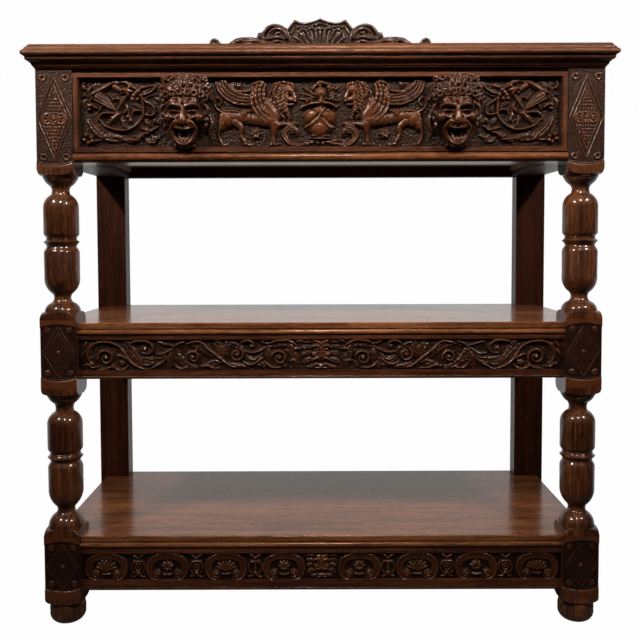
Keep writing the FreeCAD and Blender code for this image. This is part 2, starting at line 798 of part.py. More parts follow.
def mask_section(height, half_width, depth, foot_share):
    """A level section, flat at the back and round at the front."""
    rear_left = mask_point(-half_width, height, 0)
    cheek_left = mask_point(-half_width, height, depth * foot_share)
    tip = mask_point(0, height, depth)
    cheek_right = mask_point(half_width, height, depth * foot_share)
    rear_right = mask_point(half_width, height, 0)
    edges = [Part.makeLine(rear_left, cheek_left), Part.Arc(cheek_left, tip, cheek_right).toShape(),
             Part.makeLine(cheek_right, rear_right), Part.makeLine(rear_right, rear_left)]
    return Part.Wire(edges)


def mask_head():
    sections = [mask_section(*shares, mask_cheek_share) for shares in mask_section_shares]
    return Part.makeLoft(sections, True)


def mask_nose():
    sections = [mask_section(*shares, nose_foot_share) for shares in nose_section_shares]
    return Part.makeLoft(sections, True, True)


def mask_brow():
    """One brow as a bent roll over the right eye."""
    radius = brow_radius_share * mask_width
    points = [mask_point(*share) for share in brow_shares]
    shapes = []
    for first, second in zip(points, points[1:]):
        along = second - first
        shapes.append(Part.makeCylinder(radius, along.Length, first, along))
    for point in points:
        shapes.append(Part.makeSphere(radius, point))
    return shapes


def mask_hair():
    """Rows of round curls over the crown, and a few down the jaw."""
    curls = []
    for number in range(mask_curl_count):
        turn = number / (mask_curl_count - 1) - 0.5
        angle = math.pi * (0.5 + hair_arc_share * turn)
        across = hair_width_share * math.cos(angle)
        up = hair_centre_share + hair_rise_share * math.sin(angle)
        curls.append(Part.makeSphere(mask_curl_radius, mask_point(across, up, hair_depth_share)))
    for across, up, out in whisker_shares:
        for side in (-1, 1):
            curls.append(Part.makeSphere(mask_curl_radius, mask_point(side * across, up, out)))
    return curls


def mask():
    """The right mask, hollowed at the mouth and rebated over the drawer's beads."""
    pair_shapes = mask_brow()
    pair_shapes.append(Part.makeSphere(eye_radius_share * mask_width, mask_point(*eye_place_shares)))
    pair_shapes.append(Part.makeSphere(cheek_radius_share * mask_width,
                                       mask_point(*cheek_place_shares)))
    middle = Vector(mask_distance, 0, 0)
    other_side = [shape.mirror(middle, Vector(1, 0, 0)) for shape in pair_shapes]
    head = joined([mask_head(), mask_nose()] + pair_shapes + other_side + mask_hair())
    mouth_across, mouth_up = mouth_place_shares
    mouth_centre = mask_point(mouth_across, mouth_up, mouth_depth_share)
    half_width = mouth_width_share * mask_width / 2
    half_height = mouth_height_share * mask_height / 2
    x, z = mouth_centre.x, mouth_centre.z
    opening = [(x - half_width, z + half_height), (x + half_width, z + half_height),
               ((x, z - half_height), (x - half_width, z + half_height))]
    mouth = prism_along_y(opening, mouth_centre.y - mask_depth, mouth_centre.y)
    slab = box(mask_distance - mask_width / 2, mask_distance + mask_width / 2,
               drawer_panel_y - mask_depth, drawer_panel_y,
               mask_foot_z, mask_foot_z + mask_height)
    beads = joined(list(drawer_beads()))
    return head.common(slab).cut(mouth).cut(beads)


def mask_screws():
    """Two screws into each mask from the back of the drawer front."""
    screws = []
    for side in (-1, 1):
        for share in mask_screw_shares:
            place = Vector(side * mask_distance, drawer_inner_y, mask_foot_z + share * mask_height)
            screws.append(screw(place, Vector(0, -1, 0), mask_screw_length))
    return screws


# Assembly

def pair(nodes, name, shape):
    nodes[name + "_right"] = shape
    nodes[name + "_left"] = mirrored(shape)


def carcase(nodes):
    """Legs, posts and everything that is tenoned into them."""
    mortises = []

    def add(name, result):
        nodes[name] = result[0]
        mortises.append(result[1])

    def add_pair(name, result):
        pair(nodes, name, result[0])
        mortises.append(result[1])
        mortises.append(mirrored(result[1]))

    add("apron_middle_front", front_apron(middle_apron_foot_z, middle_apron_bands))
    add("apron_bottom_front", front_apron(bottom_apron_foot_z, bottom_apron_bands))
    add("rail_middle_back", rear_rail(middle_shelf_foot_z, rear_rail_height))
    add("rail_bottom_back", rear_rail(bottom_shelf_foot_z, rear_rail_height))
    add("frieze_back", rear_rail(frieze_top_z, frieze_back_height))
    add("drawer_rail", drawer_rail())
    add_pair("apron_middle", side_apron(middle_apron_foot_z))
    add_pair("apron_bottom", side_apron(bottom_apron_foot_z))
    add_pair("frieze_side", frieze_side())
    cutter = joined(mortises)
    pair(nodes, "front_leg", front_leg(cutter))
    pair(nodes, "front_foot", front_foot())
    pair(nodes, "rear_post", rear_post(cutter))
    nodes["shelf_middle"] = shelf(middle_shelf_foot_z)
    nodes["shelf_bottom"] = shelf(bottom_shelf_foot_z)
    nodes["glue_blocks_middle"] = Part.makeCompound(glue_blocks(middle_shelf_foot_z))
    nodes["glue_blocks_bottom"] = Part.makeCompound(glue_blocks(bottom_shelf_foot_z))


def frieze(nodes):
    nodes["top_rail"] = top_rail()
    pair(nodes, "drawer_runner", runner())
    pair(nodes, "drawer_guide", guide())
    pair(nodes, "drawer_kicker", kicker())
    nodes["drawer_stops"] = Part.makeCompound(drawer_stops())


def head(nodes):
    """Cornice frame, top, gallery and crest, with what fixes them."""
    front, end, back = cornice_pieces()
    screws = top_screws()
    screw_space = Part.makeCompound(screws)
    nodes["cornice_front"] = front.cut(screw_space)
    pair(nodes, "cornice", end)
    nodes["cornice_back"] = back.cut(screw_space)
    up_screws = gallery_screws()
    dowels = crest_dowels()
    dowel_space = Part.makeCompound(dowels)
    nodes["top_screws"] = screw_space
    nodes["gallery_screws"] = Part.makeCompound(up_screws)
    nodes["crest_dowels"] = dowel_space
    nodes["top_board"] = top_board().cut(screw_space).cut(nodes["gallery_screws"])
    nodes["gallery_board"] = gallery_board().cut(nodes["gallery_screws"]).cut(dowel_space)
    nodes["gallery_cap"] = gallery_cap().cut(dowel_space)
    nodes["crest"] = crest().cut(dowel_space)


def drawer(nodes):
    screws = Part.makeCompound(mask_screws())
    head_strip, foot_strip, upright = drawer_beads()
    nodes["drawer_front"] = drawer_front().cut(screws)
    nodes["drawer_panel"] = drawer_panel().cut(screws)
    nodes["drawer_bead_head"] = head_strip
    nodes["drawer_bead_foot"] = foot_strip
    pair(nodes, "drawer_bead", upright)
    pair(nodes, "drawer_side", drawer_side())
    nodes["drawer_back"] = drawer_back()
    nodes["drawer_bottom"] = drawer_bottom()
    carved = mask()
    nodes["mask_right"] = carved.cut(screws)
    nodes["mask_left"] = mirrored(carved).cut(screws)
    nodes["mask_screws"] = screws


def build():
    nodes = {}
    carcase(nodes)
    frieze(nodes)
    head(nodes)
    drawer(nodes)
    os.makedirs("parts", exist_ok=True)
    for name, shape in nodes.items():
        shape.exportStep("parts/" + name + ".step")
        print(name, len(shape.Solids), "valid" if shape.isValid() else "NOT VALID")
    return nodes


build()
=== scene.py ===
import bmesh
import bpy
import math
import numpy as np
from mathutils import Matrix, Vector


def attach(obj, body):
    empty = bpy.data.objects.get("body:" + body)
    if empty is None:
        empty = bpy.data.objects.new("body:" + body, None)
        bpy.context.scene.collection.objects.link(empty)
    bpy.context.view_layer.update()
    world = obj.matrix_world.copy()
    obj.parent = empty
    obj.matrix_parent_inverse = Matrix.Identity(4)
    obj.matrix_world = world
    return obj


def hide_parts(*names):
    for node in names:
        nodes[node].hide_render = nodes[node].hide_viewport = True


# A carved oak serving sideboard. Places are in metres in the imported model's frame: X along the
# front, -Y to the front, +Z up. The carving is drawn in millimetres, as across and up.
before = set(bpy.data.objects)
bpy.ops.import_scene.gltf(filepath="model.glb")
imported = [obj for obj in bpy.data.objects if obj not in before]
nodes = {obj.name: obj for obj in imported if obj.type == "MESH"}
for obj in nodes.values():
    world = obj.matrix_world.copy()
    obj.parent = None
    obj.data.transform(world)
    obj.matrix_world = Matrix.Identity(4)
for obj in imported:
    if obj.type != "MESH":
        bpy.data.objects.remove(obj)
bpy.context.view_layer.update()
MM = 0.001

# Sizes of the front legs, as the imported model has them, in millimetres
leg_axis_x = 511.0
leg_axis_y = -180.0
leg_stock = 70.0
leg_corner_radius = 49.9
leg_block_ends = [(54.0, 178.0), (472.0, 607.0), (901.3, 1090.4)]
leg_shoulder = 14.0
leg_foot_z = 43.0
leg_row_step = 12.0
leg_turn_steps = 96
plaque_sinking = 3.0
carving_step = 0.9
tool_mark = 0.8
round_shoulder_share = math.sqrt(0.5)

# Outlines of the two turnings: (share up its length, radius over the stock), and a pair of pairs
# is an arc through the first to the second
lower_turning_shares = [
    (0.0, 0.493), ((0.060, 0.437), (0.098, 0.300)), ((0.128, 0.241), (0.162, 0.300)),
    ((0.200, 0.407), (0.290, 0.480)), (0.450, 0.483), (0.466, 0.466), (0.482, 0.430), (0.490, 0.412),
    (0.497, 0.408), (0.508, 0.425), (0.527, 0.489), (0.541, 0.425), (0.548, 0.412), (0.554, 0.428),
    (0.560, 0.410), (0.566, 0.420), (0.580, 0.468), (0.592, 0.486), (0.775, 0.486),
    ((0.832, 0.415), (0.862, 0.286)), (0.866, 0.264), (0.872, 0.257), ((0.898, 0.250), (0.930, 0.293)),
    ((0.948, 0.380), (0.970, 0.440)), (0.973, 0.434), (0.977, 0.456), (0.985, 0.474), (0.988, 0.464),
    (0.992, 0.484), (1.0, 0.488)]
upper_turning_shares = [
    (0.0, 0.493), ((0.040, 0.440), (0.068, 0.300)), ((0.100, 0.232), (0.135, 0.275)),
    ((0.172, 0.405), (0.262, 0.482)), (0.440, 0.486), (0.452, 0.472), (0.466, 0.440), (0.476, 0.412),
    (0.484, 0.406), (0.497, 0.425), (0.517, 0.492), (0.530, 0.425), (0.536, 0.410), (0.542, 0.428),
    (0.547, 0.408), (0.553, 0.418), (0.566, 0.468), (0.577, 0.485), (0.764, 0.483),
    ((0.830, 0.412), (0.862, 0.286)), (0.866, 0.262), (0.872, 0.254), ((0.898, 0.239), (0.930, 0.300)),
    ((0.948, 0.380), (0.970, 0.440)), (0.973, 0.434), (0.977, 0.456), (0.985, 0.474), (0.988, 0.464),
    (0.992, 0.484), (1.0, 0.488)]


# Finishes
class Value:
    """A number in a finish, which adds its own nodes when it is used in a sum."""

    def __init__(self, finish, socket):
        self.finish = finish
        self.socket = socket

    def __add__(self, other):
        return self.finish.sum("ADD", self, other)

    def __sub__(self, other):
        return self.finish.sum("SUBTRACT", self, other)

    def __mul__(self, other):
        return self.finish.sum("MULTIPLY", self, other)

    def __radd__(self, other):
        return self.finish.sum("ADD", other, self)

    def __rsub__(self, other):
        return self.finish.sum("SUBTRACT", other, self)

    def __rmul__(self, other):
        return self.finish.sum("MULTIPLY", other, self)

    def spread(self, low, high):
        """0 below low, 1 above high and smooth between."""
        inputs = {"Value": self, "From Min": low, "From Max": high}
        return self.finish.add("ShaderNodeMapRange", {"interpolation_type": "SMOOTHSTEP"}, inputs)


class Finish:
    """A material, made node by node."""

    def __init__(self, name):
        self.material = bpy.data.materials.new(name)
        self.material.use_nodes = True
        self.tree = self.material.node_tree
        self.shader = self.tree.nodes["Principled BSDF"]

    def add(self, kind, settings=None, inputs=None, output=0):
        node = self.tree.nodes.new(kind)
        for name, setting in (settings or {}).items():
            if name == "stops":
                while len(node.color_ramp.elements) < len(setting):
                    node.color_ramp.elements.new(0.5)
                for stop, (place, colour) in zip(node.color_ramp.elements, setting):
                    stop.position = place
                    stop.color = (*colour, 1)
            else:
                setattr(node, name, setting)
        for name, value in (inputs or {}).items():
            self.put(node.inputs[name], value)
        return Value(self, node.outputs[output])

    def put(self, socket, value):
        if isinstance(value, Value):
            self.tree.links.new(value.socket, socket)
        elif socket.type == "RGBA":
            socket.default_value = (*value, 1)
        else:
            socket.default_value = value

    def sum(self, operation, first, second):
        return self.add("ShaderNodeMath", {"operation": operation}, {0: first, 1: second})

    def place(self, stretch=(1, 1, 1), shift=(0, 0, 0)):
        """Object coordinates, stretched."""
        coordinates = self.add("ShaderNodeTexCoord", {}, {}, "Object")
        return self.add("ShaderNodeMapping", {}, {"Vector": coordinates, "Location": shift, "Scale": stretch})

    def clouds(self, place, scale, detail=3.0, roughness=0.55):
        inputs = {"Vector": place, "Scale": scale, "Detail": detail, "Roughness": roughness}
        return self.add("ShaderNodeTexNoise", {}, inputs, "Fac")

    def blend(self, share, first, second):
        return self.add("ShaderNodeMix", {"data_type": "RGBA"}, {0: share, 6: first, 7: second}, 2)

    def shades(self, tone, *stops):
        """A colour that runs through the stops as the tone rises."""
        return self.add("ShaderNodeValToRGB", {"stops": stops}, {"Fac": tone})

    def attribute(self, name):
        return self.add("ShaderNodeAttribute", {"attribute_name": name}, {}, "Fac")

    def bump(self, height, distance, strength=1.0, normal=None):
        inputs = {"Height": height, "Distance": distance, "Strength": strength}
        if normal is not None:
            inputs["Normal"] = normal
        return self.add("ShaderNodeBump", {}, inputs)

    def surface(self, **inputs):
        for name, value in inputs.items():
            self.put(self.shader.inputs[name.replace("_", " ")], value)
        return self.material


def grain_place(finish, axis, stretch, shift=(0, 0, 0)):
    """Coordinates that run slowly along the grain."""
    scale = [1.0, 1.0, 1.0]
    scale["XYZ".index(axis)] = stretch
    return finish.place(tuple(scale), shift)


stain_sheen = (1.0, 0.60, 0.40)
ring_centre = (0.31, 0.23, 0.17)


def oak(name, axis, stain, roughness, coat, relief=1.0, shine=0.38):
    """Stained and polished oak with its grain along an axis. The stain has its dark, middle and light."""
    dark, middle, light = stain
    finish = Finish(name)
    figure = finish.clouds(grain_place(finish, axis, 0.07), 34, 4, 0.62)
    streaks = finish.clouds(grain_place(finish, axis, 0.03), 250, 3, 0.62)
    flecks = finish.clouds(grain_place(finish, axis, 0.30), 190, 2, 0.6)
    patches = finish.clouds(finish.place(), 5, 3)
    rings = finish.add("ShaderNodeTexWave",
                       {"wave_type": "RINGS", "rings_direction": axis, "wave_profile": "SAW"},
                       {"Vector": grain_place(finish, axis, 0.16, ring_centre), "Scale": 42,
                        "Distortion": 11, "Detail": 3, "Detail Scale": 0.7, "Detail Roughness": 0.6}, 1)
    pores = finish.clouds(grain_place(finish, axis, 0.055), 820, 2, 0.5).spread(0.55, 0.68)
    tone = 0.34 * figure + 0.30 * streaks + 0.22 * flecks + 0.16 * patches + 0.045 * (rings - 0.5)
    colour = finish.shades(tone, (0.43, dark), (0.51, middle), (0.60, light))
    colour = finish.blend(pores * 0.62, colour, tuple(0.25 * part for part in dark))
    gloss = roughness + 0.14 * pores + 0.12 * (patches - 0.5)
    pits = finish.bump(1 - pores, 0.00022, 0.7 * relief)
    waves = finish.bump(streaks + 0.6 * figure, 0.0005, 0.30 * relief, pits)
    return finish.surface(Base_Color=colour, Roughness=gloss, Coat_Weight=coat, Coat_Roughness=0.11,
                          Specular_IOR_Level=shine, Specular_Tint=stain_sheen, Normal=waves)


def carved(name, stain, highlight_wear_scale=1.0):
    """Stained oak under carving: darker on the ground and in the hollows, partly dirt and partly painted
    shade; lighter on the high places and raised edges, partly wear and partly painted highlight; polish on
    the high places.
    """
    dark, middle, light = stain
    finish = Finish(name)
    height = finish.attribute("height")
    hollow = finish.attribute("hollow")
    streaks = finish.clouds(grain_place(finish, "X", 0.03), 260, 3, 0.6)
    patches = finish.clouds(finish.place(), 28, 4, 0.6)
    # Lighter on the high places and darker on the sunk ground: partly stain, partly painted shade.
    tone = 0.62 * height + 0.55 * (patches - 0.5) + 0.16 * (streaks - 0.5) + 0.10
    colour = finish.shades(tone, (0.10, dark), (0.42, middle), (0.85, light))
    # Darker in the hollows: partly dirt, partly painted shade where the carving shades itself.
    dirt_and_shade = hollow.spread(0.51, 0.86)
    colour = finish.blend(dirt_and_shade * 0.75, colour, tuple(0.30 * part for part in dark))
    # Lighter on raised edges: partly wear, partly painted highlight.
    wear_and_highlight = (1 - hollow).spread(0.60, 0.98) * highlight_wear_scale
    colour = finish.blend(wear_and_highlight * 0.34, colour, tuple(1.6 * part for part in light))
    gloss = 0.40 - 0.12 * height + 0.30 * dirt_and_shade
    grain = finish.clouds(grain_place(finish, "X", 0.05), 900, 2, 0.5).spread(0.56, 0.70)
    relief = finish.bump(1 - grain, 0.0002, 0.6)
    relief = finish.bump(finish.clouds(finish.place((1, 1, 1), (3, 1, 2)), 330, 2, 0.5), 0.0006, 0.55, relief)
    polish = (1 - dirt_and_shade) * (0.08 + 0.46 * (1 - hollow).spread(0.52, 0.86))
    return finish.surface(Base_Color=colour, Roughness=gloss, Coat_Weight=polish, Coat_Roughness=0.17,
                          Specular_IOR_Level=0.22, Specular_Tint=stain_sheen, Normal=relief)


def plain_steel(name):
    finish = Finish(name)
    streaks = finish.clouds(finish.place(), 900, 2)
    return finish.surface(Base_Color=(0.35, 0.33, 0.30), Metallic=1.0, Roughness=0.32 + 0.2 * streaks)


leg_stain = (0.018, 0.0045, 0.0014), (0.050, 0.0140, 0.0042), (0.105, 0.034, 0.011)
across_stain = (0.014, 0.0034, 0.0012), (0.036, 0.0092, 0.0032), (0.076, 0.021, 0.0070)
bead_stain = (0.030, 0.0075, 0.0022), (0.078, 0.0225, 0.0066), (0.140, 0.045, 0.0140)
upright_stain = (0.012, 0.0024, 0.0008), (0.028, 0.0060, 0.0018), (0.052, 0.012, 0.0036)
deep_stain = (0.012, 0.0030, 0.0010), (0.030, 0.0078, 0.0026), (0.060, 0.017, 0.0060)
shelf_stain = (0.070, 0.0215, 0.0075), (0.130, 0.0450, 0.0160), (0.200, 0.076, 0.030)
top_stain = (0.025, 0.0076, 0.0029), (0.051, 0.0164, 0.0064), (0.090, 0.032, 0.014)
inner_stain = (0.20, 0.112, 0.052), (0.29, 0.180, 0.094), (0.36, 0.235, 0.132)
bottom_stain = (0.090, 0.046, 0.021), (0.140, 0.078, 0.038), (0.190, 0.112, 0.058)
carved_stain = (0.0050, 0.0020, 0.0016), (0.0175, 0.0050, 0.0021), (0.0520, 0.0146, 0.0040)
crest_stain = (0.0040, 0.0023, 0.0020), (0.0135, 0.0066, 0.0050), (0.0360, 0.0176, 0.0122)
plaque_stain = (0.0056, 0.0021, 0.0015), (0.0168, 0.0050, 0.0029), (0.0800, 0.0230, 0.0072)
apron_stain = (0.0034, 0.0014, 0.0012), (0.0300, 0.0082, 0.0028), (0.0860, 0.0240, 0.0074)

leg_finish = oak("turned_oak", "Z", leg_stain, 0.44, 0.55, shine=0.22)
frame_across = oak("frame_oak_across", "X", across_stain, 0.38, 0.12)
bead_finish = oak("bead_oak", "X", bead_stain, 0.31, 0.10, shine=0.26)
frame_upright = oak("frame_oak_upright", "Z", upright_stain, 0.40, 0.0)
frame_deep = oak("frame_oak_deep", "Y", deep_stain, 0.40, 0.0)
shelf_finish = oak("shelf_oak", "X", shelf_stain, 0.15, 0.0, relief=0.3)
top_finish = oak("top_oak", "X", top_stain, 0.34, 0.0)
inner_finish = oak("inner_oak", "X", inner_stain, 0.6, 0.0)
inner_deep = oak("inner_oak_deep", "Y", inner_stain, 0.6, 0.0)
bottom_finish = oak("drawer_bottom_oak", "X", bottom_stain, 0.6, 0.0)
# The last number scales the wear and painted highlight on raised edges.
carved_finish = carved("carved_oak", carved_stain)
mask_finish = carved("mask_oak", carved_stain, 1.3)
crest_finish = carved("crest_oak", crest_stain, 1.1)
plaque_finish = carved("plaque_oak", plaque_stain, 0.5)
apron_finish = carved("apron_oak", apron_stain, 0.5)
steel_finish = plain_steel("plain_steel")

# The finish of each node that is shown, by the start of its name. The rest have the frame's oak.
node_finishes = [
    (leg_finish, ("front_foot",)), (frame_upright, ("rear_post",)), (top_finish, ("top_board",)),
    (shelf_finish, ("shelf_",)), (bottom_finish, ("drawer_bottom",)),
    (steel_finish, ("top_screws", "gallery_screws", "mask_screws")),
    (inner_finish, ("drawer_back", "drawer_stops", "glue_blocks")),
    (inner_deep, ("crest_dowels", "drawer_side", "drawer_guide", "drawer_kicker")),
    (frame_deep, ("frieze_side", "drawer_runner", "cornice_left", "cornice_right", "apron_middle_left",
                  "apron_middle_right", "apron_bottom_left", "apron_bottom_right"))]
for name, part in nodes.items():
    chosen = [finish for finish, starts in node_finishes if name.startswith(starts)]
    part.data.materials.clear()
    part.data.materials.append(chosen[0] if chosen else frame_across)


def stand(name, mesh_shape, finish, body):
    """Makes a finished shape one of the sideboard's pieces."""
    mesh = bpy.data.meshes.new(name)
    mesh_shape.to_mesh(mesh)
    mesh_shape.free()
    mesh.materials.append(finish)
    piece = bpy.data.objects.new(name, mesh)
    bpy.context.scene.collection.objects.link(piece)
    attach(piece, body)
    return piece


# Carving. A line is given as across, up, across, up and so on.
def smooth_line(line, steps=8, size=2):
    """The points of a smooth curve through a line, which has size numbers to each point."""
    given = np.reshape(np.array(line, float), (-1, size))
    if len(given) == 2:
        return given
    padded = np.vstack([2 * given[0] - given[1], given, 2 * given[-1] - given[-2]])
    points = []
    for number in range(len(given) - 1):
        before, start, end, after = padded[number:number + 4]
        for t in np.arange(steps) / steps:
            points.append(0.5 * (2 * start + (end - before) * t
                                 + (2 * before - 5 * start + 4 * end - after) * t ** 2
                                 + (3 * start - before - 3 * end + after) * t ** 3))
    points.append(given[-1])
    return np.array(points)


def spiral(centre, radius, start, turns, end_share=0.25):
    """Points that wind in from a radius. Angles are in turns, anticlockwise, and turns may be negative."""
    x, z = np.ravel(centre)
    count = max(6, int(abs(turns) * 12))
    points = []
    for number in range(count + 1):
        share = number / count
        angle = 2 * math.pi * (start + turns * share)
        reach = radius * (1 + (end_share - 1) * share)
        points.append((x + reach * math.cos(angle), z + reach * math.sin(angle)))
    return points


def mirrored(line):
    """A line or a centre on the other side of the middle."""
    return np.reshape(line, (-1, 2)) * (-1, 1)


def dome(out):
    """The section of a round form, from 1 in its middle to 0 at its edge."""
    return np.sqrt(1 - np.minimum(out, 1) ** 2)


class Carving:
    """Heights over a flat ground at the points of a fine grid, cut stroke by stroke."""

    def __init__(self, across, up):
        self.across = across
        self.up = up
        self.height = np.zeros(len(across))

    def near(self, line, margin):
        corners = np.reshape(line, (-1, 2))
        low = corners.min(0) - margin
        high = corners.max(0) + margin
        return np.flatnonzero((self.across > low[0]) & (self.across < high[0])
                              & (self.up > low[1]) & (self.up < high[1]))

    def around(self, centre, radius):
        """The grid points near a centre, and how far across and up from it they are."""
        x, z = np.ravel(centre)
        chosen = self.near(centre, radius)
        return chosen, self.across[chosen] - x, self.up[chosen] - z

    def measure(self, line, margin, swell):
        """The grid points near a line, with each one's distance, swelling, share along it and side."""
        points = smooth_line(line)
        chosen = self.near(points, margin)
        place = np.stack([self.across[chosen], self.up[chosen]], 1)
        steps = np.linalg.norm(np.diff(points, axis=0), axis=1)
        marks = np.concatenate([[0], np.cumsum(steps)]) / steps.sum()
        distance = np.full(len(chosen), np.inf)
        share = np.zeros(len(chosen))
        side = np.zeros(len(chosen))
        for number in range(len(points) - 1):
            run = points[number + 1] - points[number]
            offset = place - points[number]
            t = np.clip(offset @ run / (run @ run), 0, 1)
            gap = np.linalg.norm(offset - t[:, None] * run, axis=1)
            closer = gap < distance
            distance[closer] = gap[closer]
            share[closer] = marks[number] + t[closer] * (marks[number + 1] - marks[number])
            side[closer] = np.sign(run[0] * offset[closer, 1] - run[1] * offset[closer, 0])
        scale = np.interp(share, np.linspace(0, 1, len(swell)), swell)
        return chosen, distance, scale, share, side

    def lift(self, chosen, out, level):
        """Raises the ground to a level inside a form, where the share of the way out of it is below 1."""
        inside = out < 1
        self.height[chosen[inside]] = np.maximum(self.height[chosen[inside]], level[inside])

    def stroke(self, line, width, height, swell=(1, 1), foot=0.0, form="round"):
        """A raised line. width is half of its breadth, and swell scales both along it."""
        chosen, distance, scale, share, side = self.measure(line, width * max(swell), swell)
        out = distance / (width * np.maximum(scale, 0.02))
        near_out = np.minimum(out, 1)
        sections = {"round": dome(out),
                    "ridge": 1 - near_out,
                    "strap": np.clip((1 - near_out) / 0.25, 0, 1) * (0.62 + 0.38 * near_out ** 3),
                    "vein": dome(out) * (1 - 0.45 * np.exp(-(near_out / 0.22) ** 2))}
        self.lift(chosen, out, foot + (height - foot) * sections[form] * np.sqrt(np.clip(scale, 0, 1.5)))

    def ridge(self, line, width, height, swell=(1, 1), foot=0.0):
        self.stroke(line, width, height, swell, foot, "ridge")

    def strap(self, line, width, height, swell=(1, 1), foot=0.0):
        self.stroke(line, width, height, swell, foot, "strap")

    def vein(self, line, width, height, swell=(1, 1), foot=0.0):
        self.stroke(line, width, height, swell, foot, "vein")

    def leaf(self, line, width, height, lobes=4, swell=(0.15, 0.8, 1, 0.75, 0.1)):
        """A leaf along its midrib, with lobed edges and a vein out to each lobe."""
        chosen, distance, scale, share, side = self.measure(line, width, swell)
        phase = share * lobes + 0.18 * side
        edge = 0.74 + 0.26 * np.abs(np.cos(math.pi * phase)) ** 0.7
        out = distance / (width * np.maximum(scale, 0.02) * edge)
        near_out = np.minimum(out, 1)
        veins = 0.5 + 0.5 * np.cos(2 * math.pi * (phase - 0.45 * near_out))
        section = dome(out) * (0.68 + 0.32 * veins * near_out ** 0.5)
        section = section * (1 - 0.35 * np.exp(-(distance / (0.10 * width)) ** 2))
        self.lift(chosen, out, height * section * np.sqrt(np.clip(scale, 0, 1.5)))

    def boss(self, centre, radius, height, foot=0.0):
        chosen, across, up = self.around(centre, radius)
        out = np.hypot(across, up) / radius
        self.lift(chosen, out, foot + (height - foot) * dome(out))

    def ring(self, centre, radius, width, height):
        chosen, across, up = self.around(centre, radius + width)
        out = np.abs(np.hypot(across, up) - radius) / width
        self.lift(chosen, out, height * dome(out))

    def rosette(self, centre, radius, height, petals=6):
        chosen, across, up = self.around(centre, radius)
        wave = np.abs(np.cos(np.arctan2(up, across) * petals / 2))
        out = np.hypot(across, up) / (radius * (0.72 + 0.28 * wave))
        near_out = np.minimum(out, 1)
        dish = np.sin(math.pi * np.clip(near_out * 1.05, 0, 1)) ** 0.7
        rim = np.clip((1 - near_out) / 0.15, 0, 1)
        self.lift(chosen, out, height * (0.35 + 0.5 * dish * (0.45 + 0.55 * wave)) * rim)
        self.boss(centre, radius * 0.30, height)

    def cut(self, line, width, depth, swell=(1, 1)):
        """A groove of a gouge along a line."""
        chosen, distance, scale, share, side = self.measure(line, width, swell)
        out = np.minimum(distance / (width * np.maximum(scale, 0.02)), 1)
        self.height[chosen] -= depth * scale * (1 - out ** 2)

    def drill(self, centre, radius, depth):
        chosen, across, up = self.around(centre, radius)
        self.height[chosen] -= depth * np.clip(1 - (np.hypot(across, up) / radius) ** 3, 0, 1)

    def volute(self, centre, radius, start, turns, width, height, eye):
        """A stem that winds in to an eye."""
        self.stroke(spiral(centre, radius, start, turns), width, height, (1, 1, 0.8, 0.6))
        self.boss(centre, radius * eye, height)

    def each(self, rows):
        """Cuts the rows of a table: each has a method's name, its line or centre, and its sizes."""
        for method, line, *sizes in rows:
            getattr(self, method)(line, *sizes)

    def both(self, method, line, *sizes):
        """The same cut on the left and on the right."""
        self.each([(method, line, *sizes), (method, mirrored(line), *sizes)])

    def pairs(self, rows):
        """Cuts the rows of a table, which are given for the right: each on the left, then on the right."""
        for method, line, *sizes in rows:
            self.both(method, mirrored(line), *sizes)


def blurred(heights, reach):
    """Heights averaged over a square of grid points, by running sums."""
    for direction in (0, 1):
        padded = np.concatenate([np.repeat(heights.take([0], direction), reach + 1, direction), heights,
                                 np.repeat(heights.take([-1], direction), reach, direction)], direction)
        total = np.cumsum(padded, direction)
        span = 2 * reach + 1
        count = heights.shape[direction]
        heights = (total.take(range(span, span + count), direction)
                   - total.take(range(count), direction)) / span
    return heights


def carved_tile(name, across, up, centre_up, step, ground_y, back_y, relief, carve, finish, body,
                offset=0.0, roughness=1.0):
    """A flat piece of carving: its ground lies at ground_y and its relief stands towards the front."""
    columns = round((across[1] - across[0]) / step)
    rows = round((up[1] - up[0]) / step)
    shape = bmesh.new()
    bmesh.ops.create_grid(shape, x_segments=columns, y_segments=rows, size=0.5)
    place = np.array([vert.co[:2] for vert in shape.verts]) + 0.5
    x = across[0] + place[:, 0] * (across[1] - across[0])
    z = up[0] + place[:, 1] * (up[1] - up[0])
    carving = Carving(x, z)
    carve(carving)
    order = np.lexsort((np.round(place[:, 0], 5), np.round(place[:, 1], 5)))
    table = carving.height[order].reshape(rows + 1, columns + 1)
    table = 0.35 * table + 0.65 * blurred(table, 1)
    marks = blurred(np.random.default_rng(7).standard_normal(table.shape), 1)
    marks[[0, -1], :] = 0
    marks[:, [0, -1]] = 0
    table = table + roughness * tool_mark * marks * np.clip(2.5 * (1 - table / relief), 0, 1)
    near = max(1, round(2.5 / step))
    # The hollow and height marks drive the finish's painted shade in the hollows and painted highlight on
    # raised edges.
    hollow = np.clip(0.5 + (blurred(blurred(table, near), near) - table) / (0.55 * relief), 0, 1)
    heights = np.zeros(len(x))
    heights[order] = table.ravel()
    hollows = np.zeros(len(x))
    hollows[order] = hollow.ravel()
    height_layer = shape.verts.layers.float.new("height")
    hollow_layer = shape.verts.layers.float.new("hollow")
    for number, vert in enumerate(shape.verts):
        vert.co = ((x[number] + offset) * MM, (ground_y - heights[number]) * MM,
                   (z[number] + centre_up) * MM)
        vert[height_layer] = min(1.0, max(0.0, heights[number] / relief))
        vert[hollow_layer] = hollows[number]
    for face in shape.faces:
        face.smooth = True
    rim = [edge for edge in shape.edges if edge.is_boundary]
    walls = bmesh.ops.extrude_edge_only(shape, edges=rim)["geom"]
    for vert in walls:
        if isinstance(vert, bmesh.types.BMVert):
            vert.co.y = back_y * MM
    far_rim = [edge for edge in walls if isinstance(edge, bmesh.types.BMEdge) and edge.is_boundary]
    bmesh.ops.edgeloop_fill(shape, edges=far_rim)
    for edge in rim:
        edge.smooth = False
    bmesh.ops.recalc_face_normals(shape, faces=shape.faces)
    return stand(name, shape, finish, body)


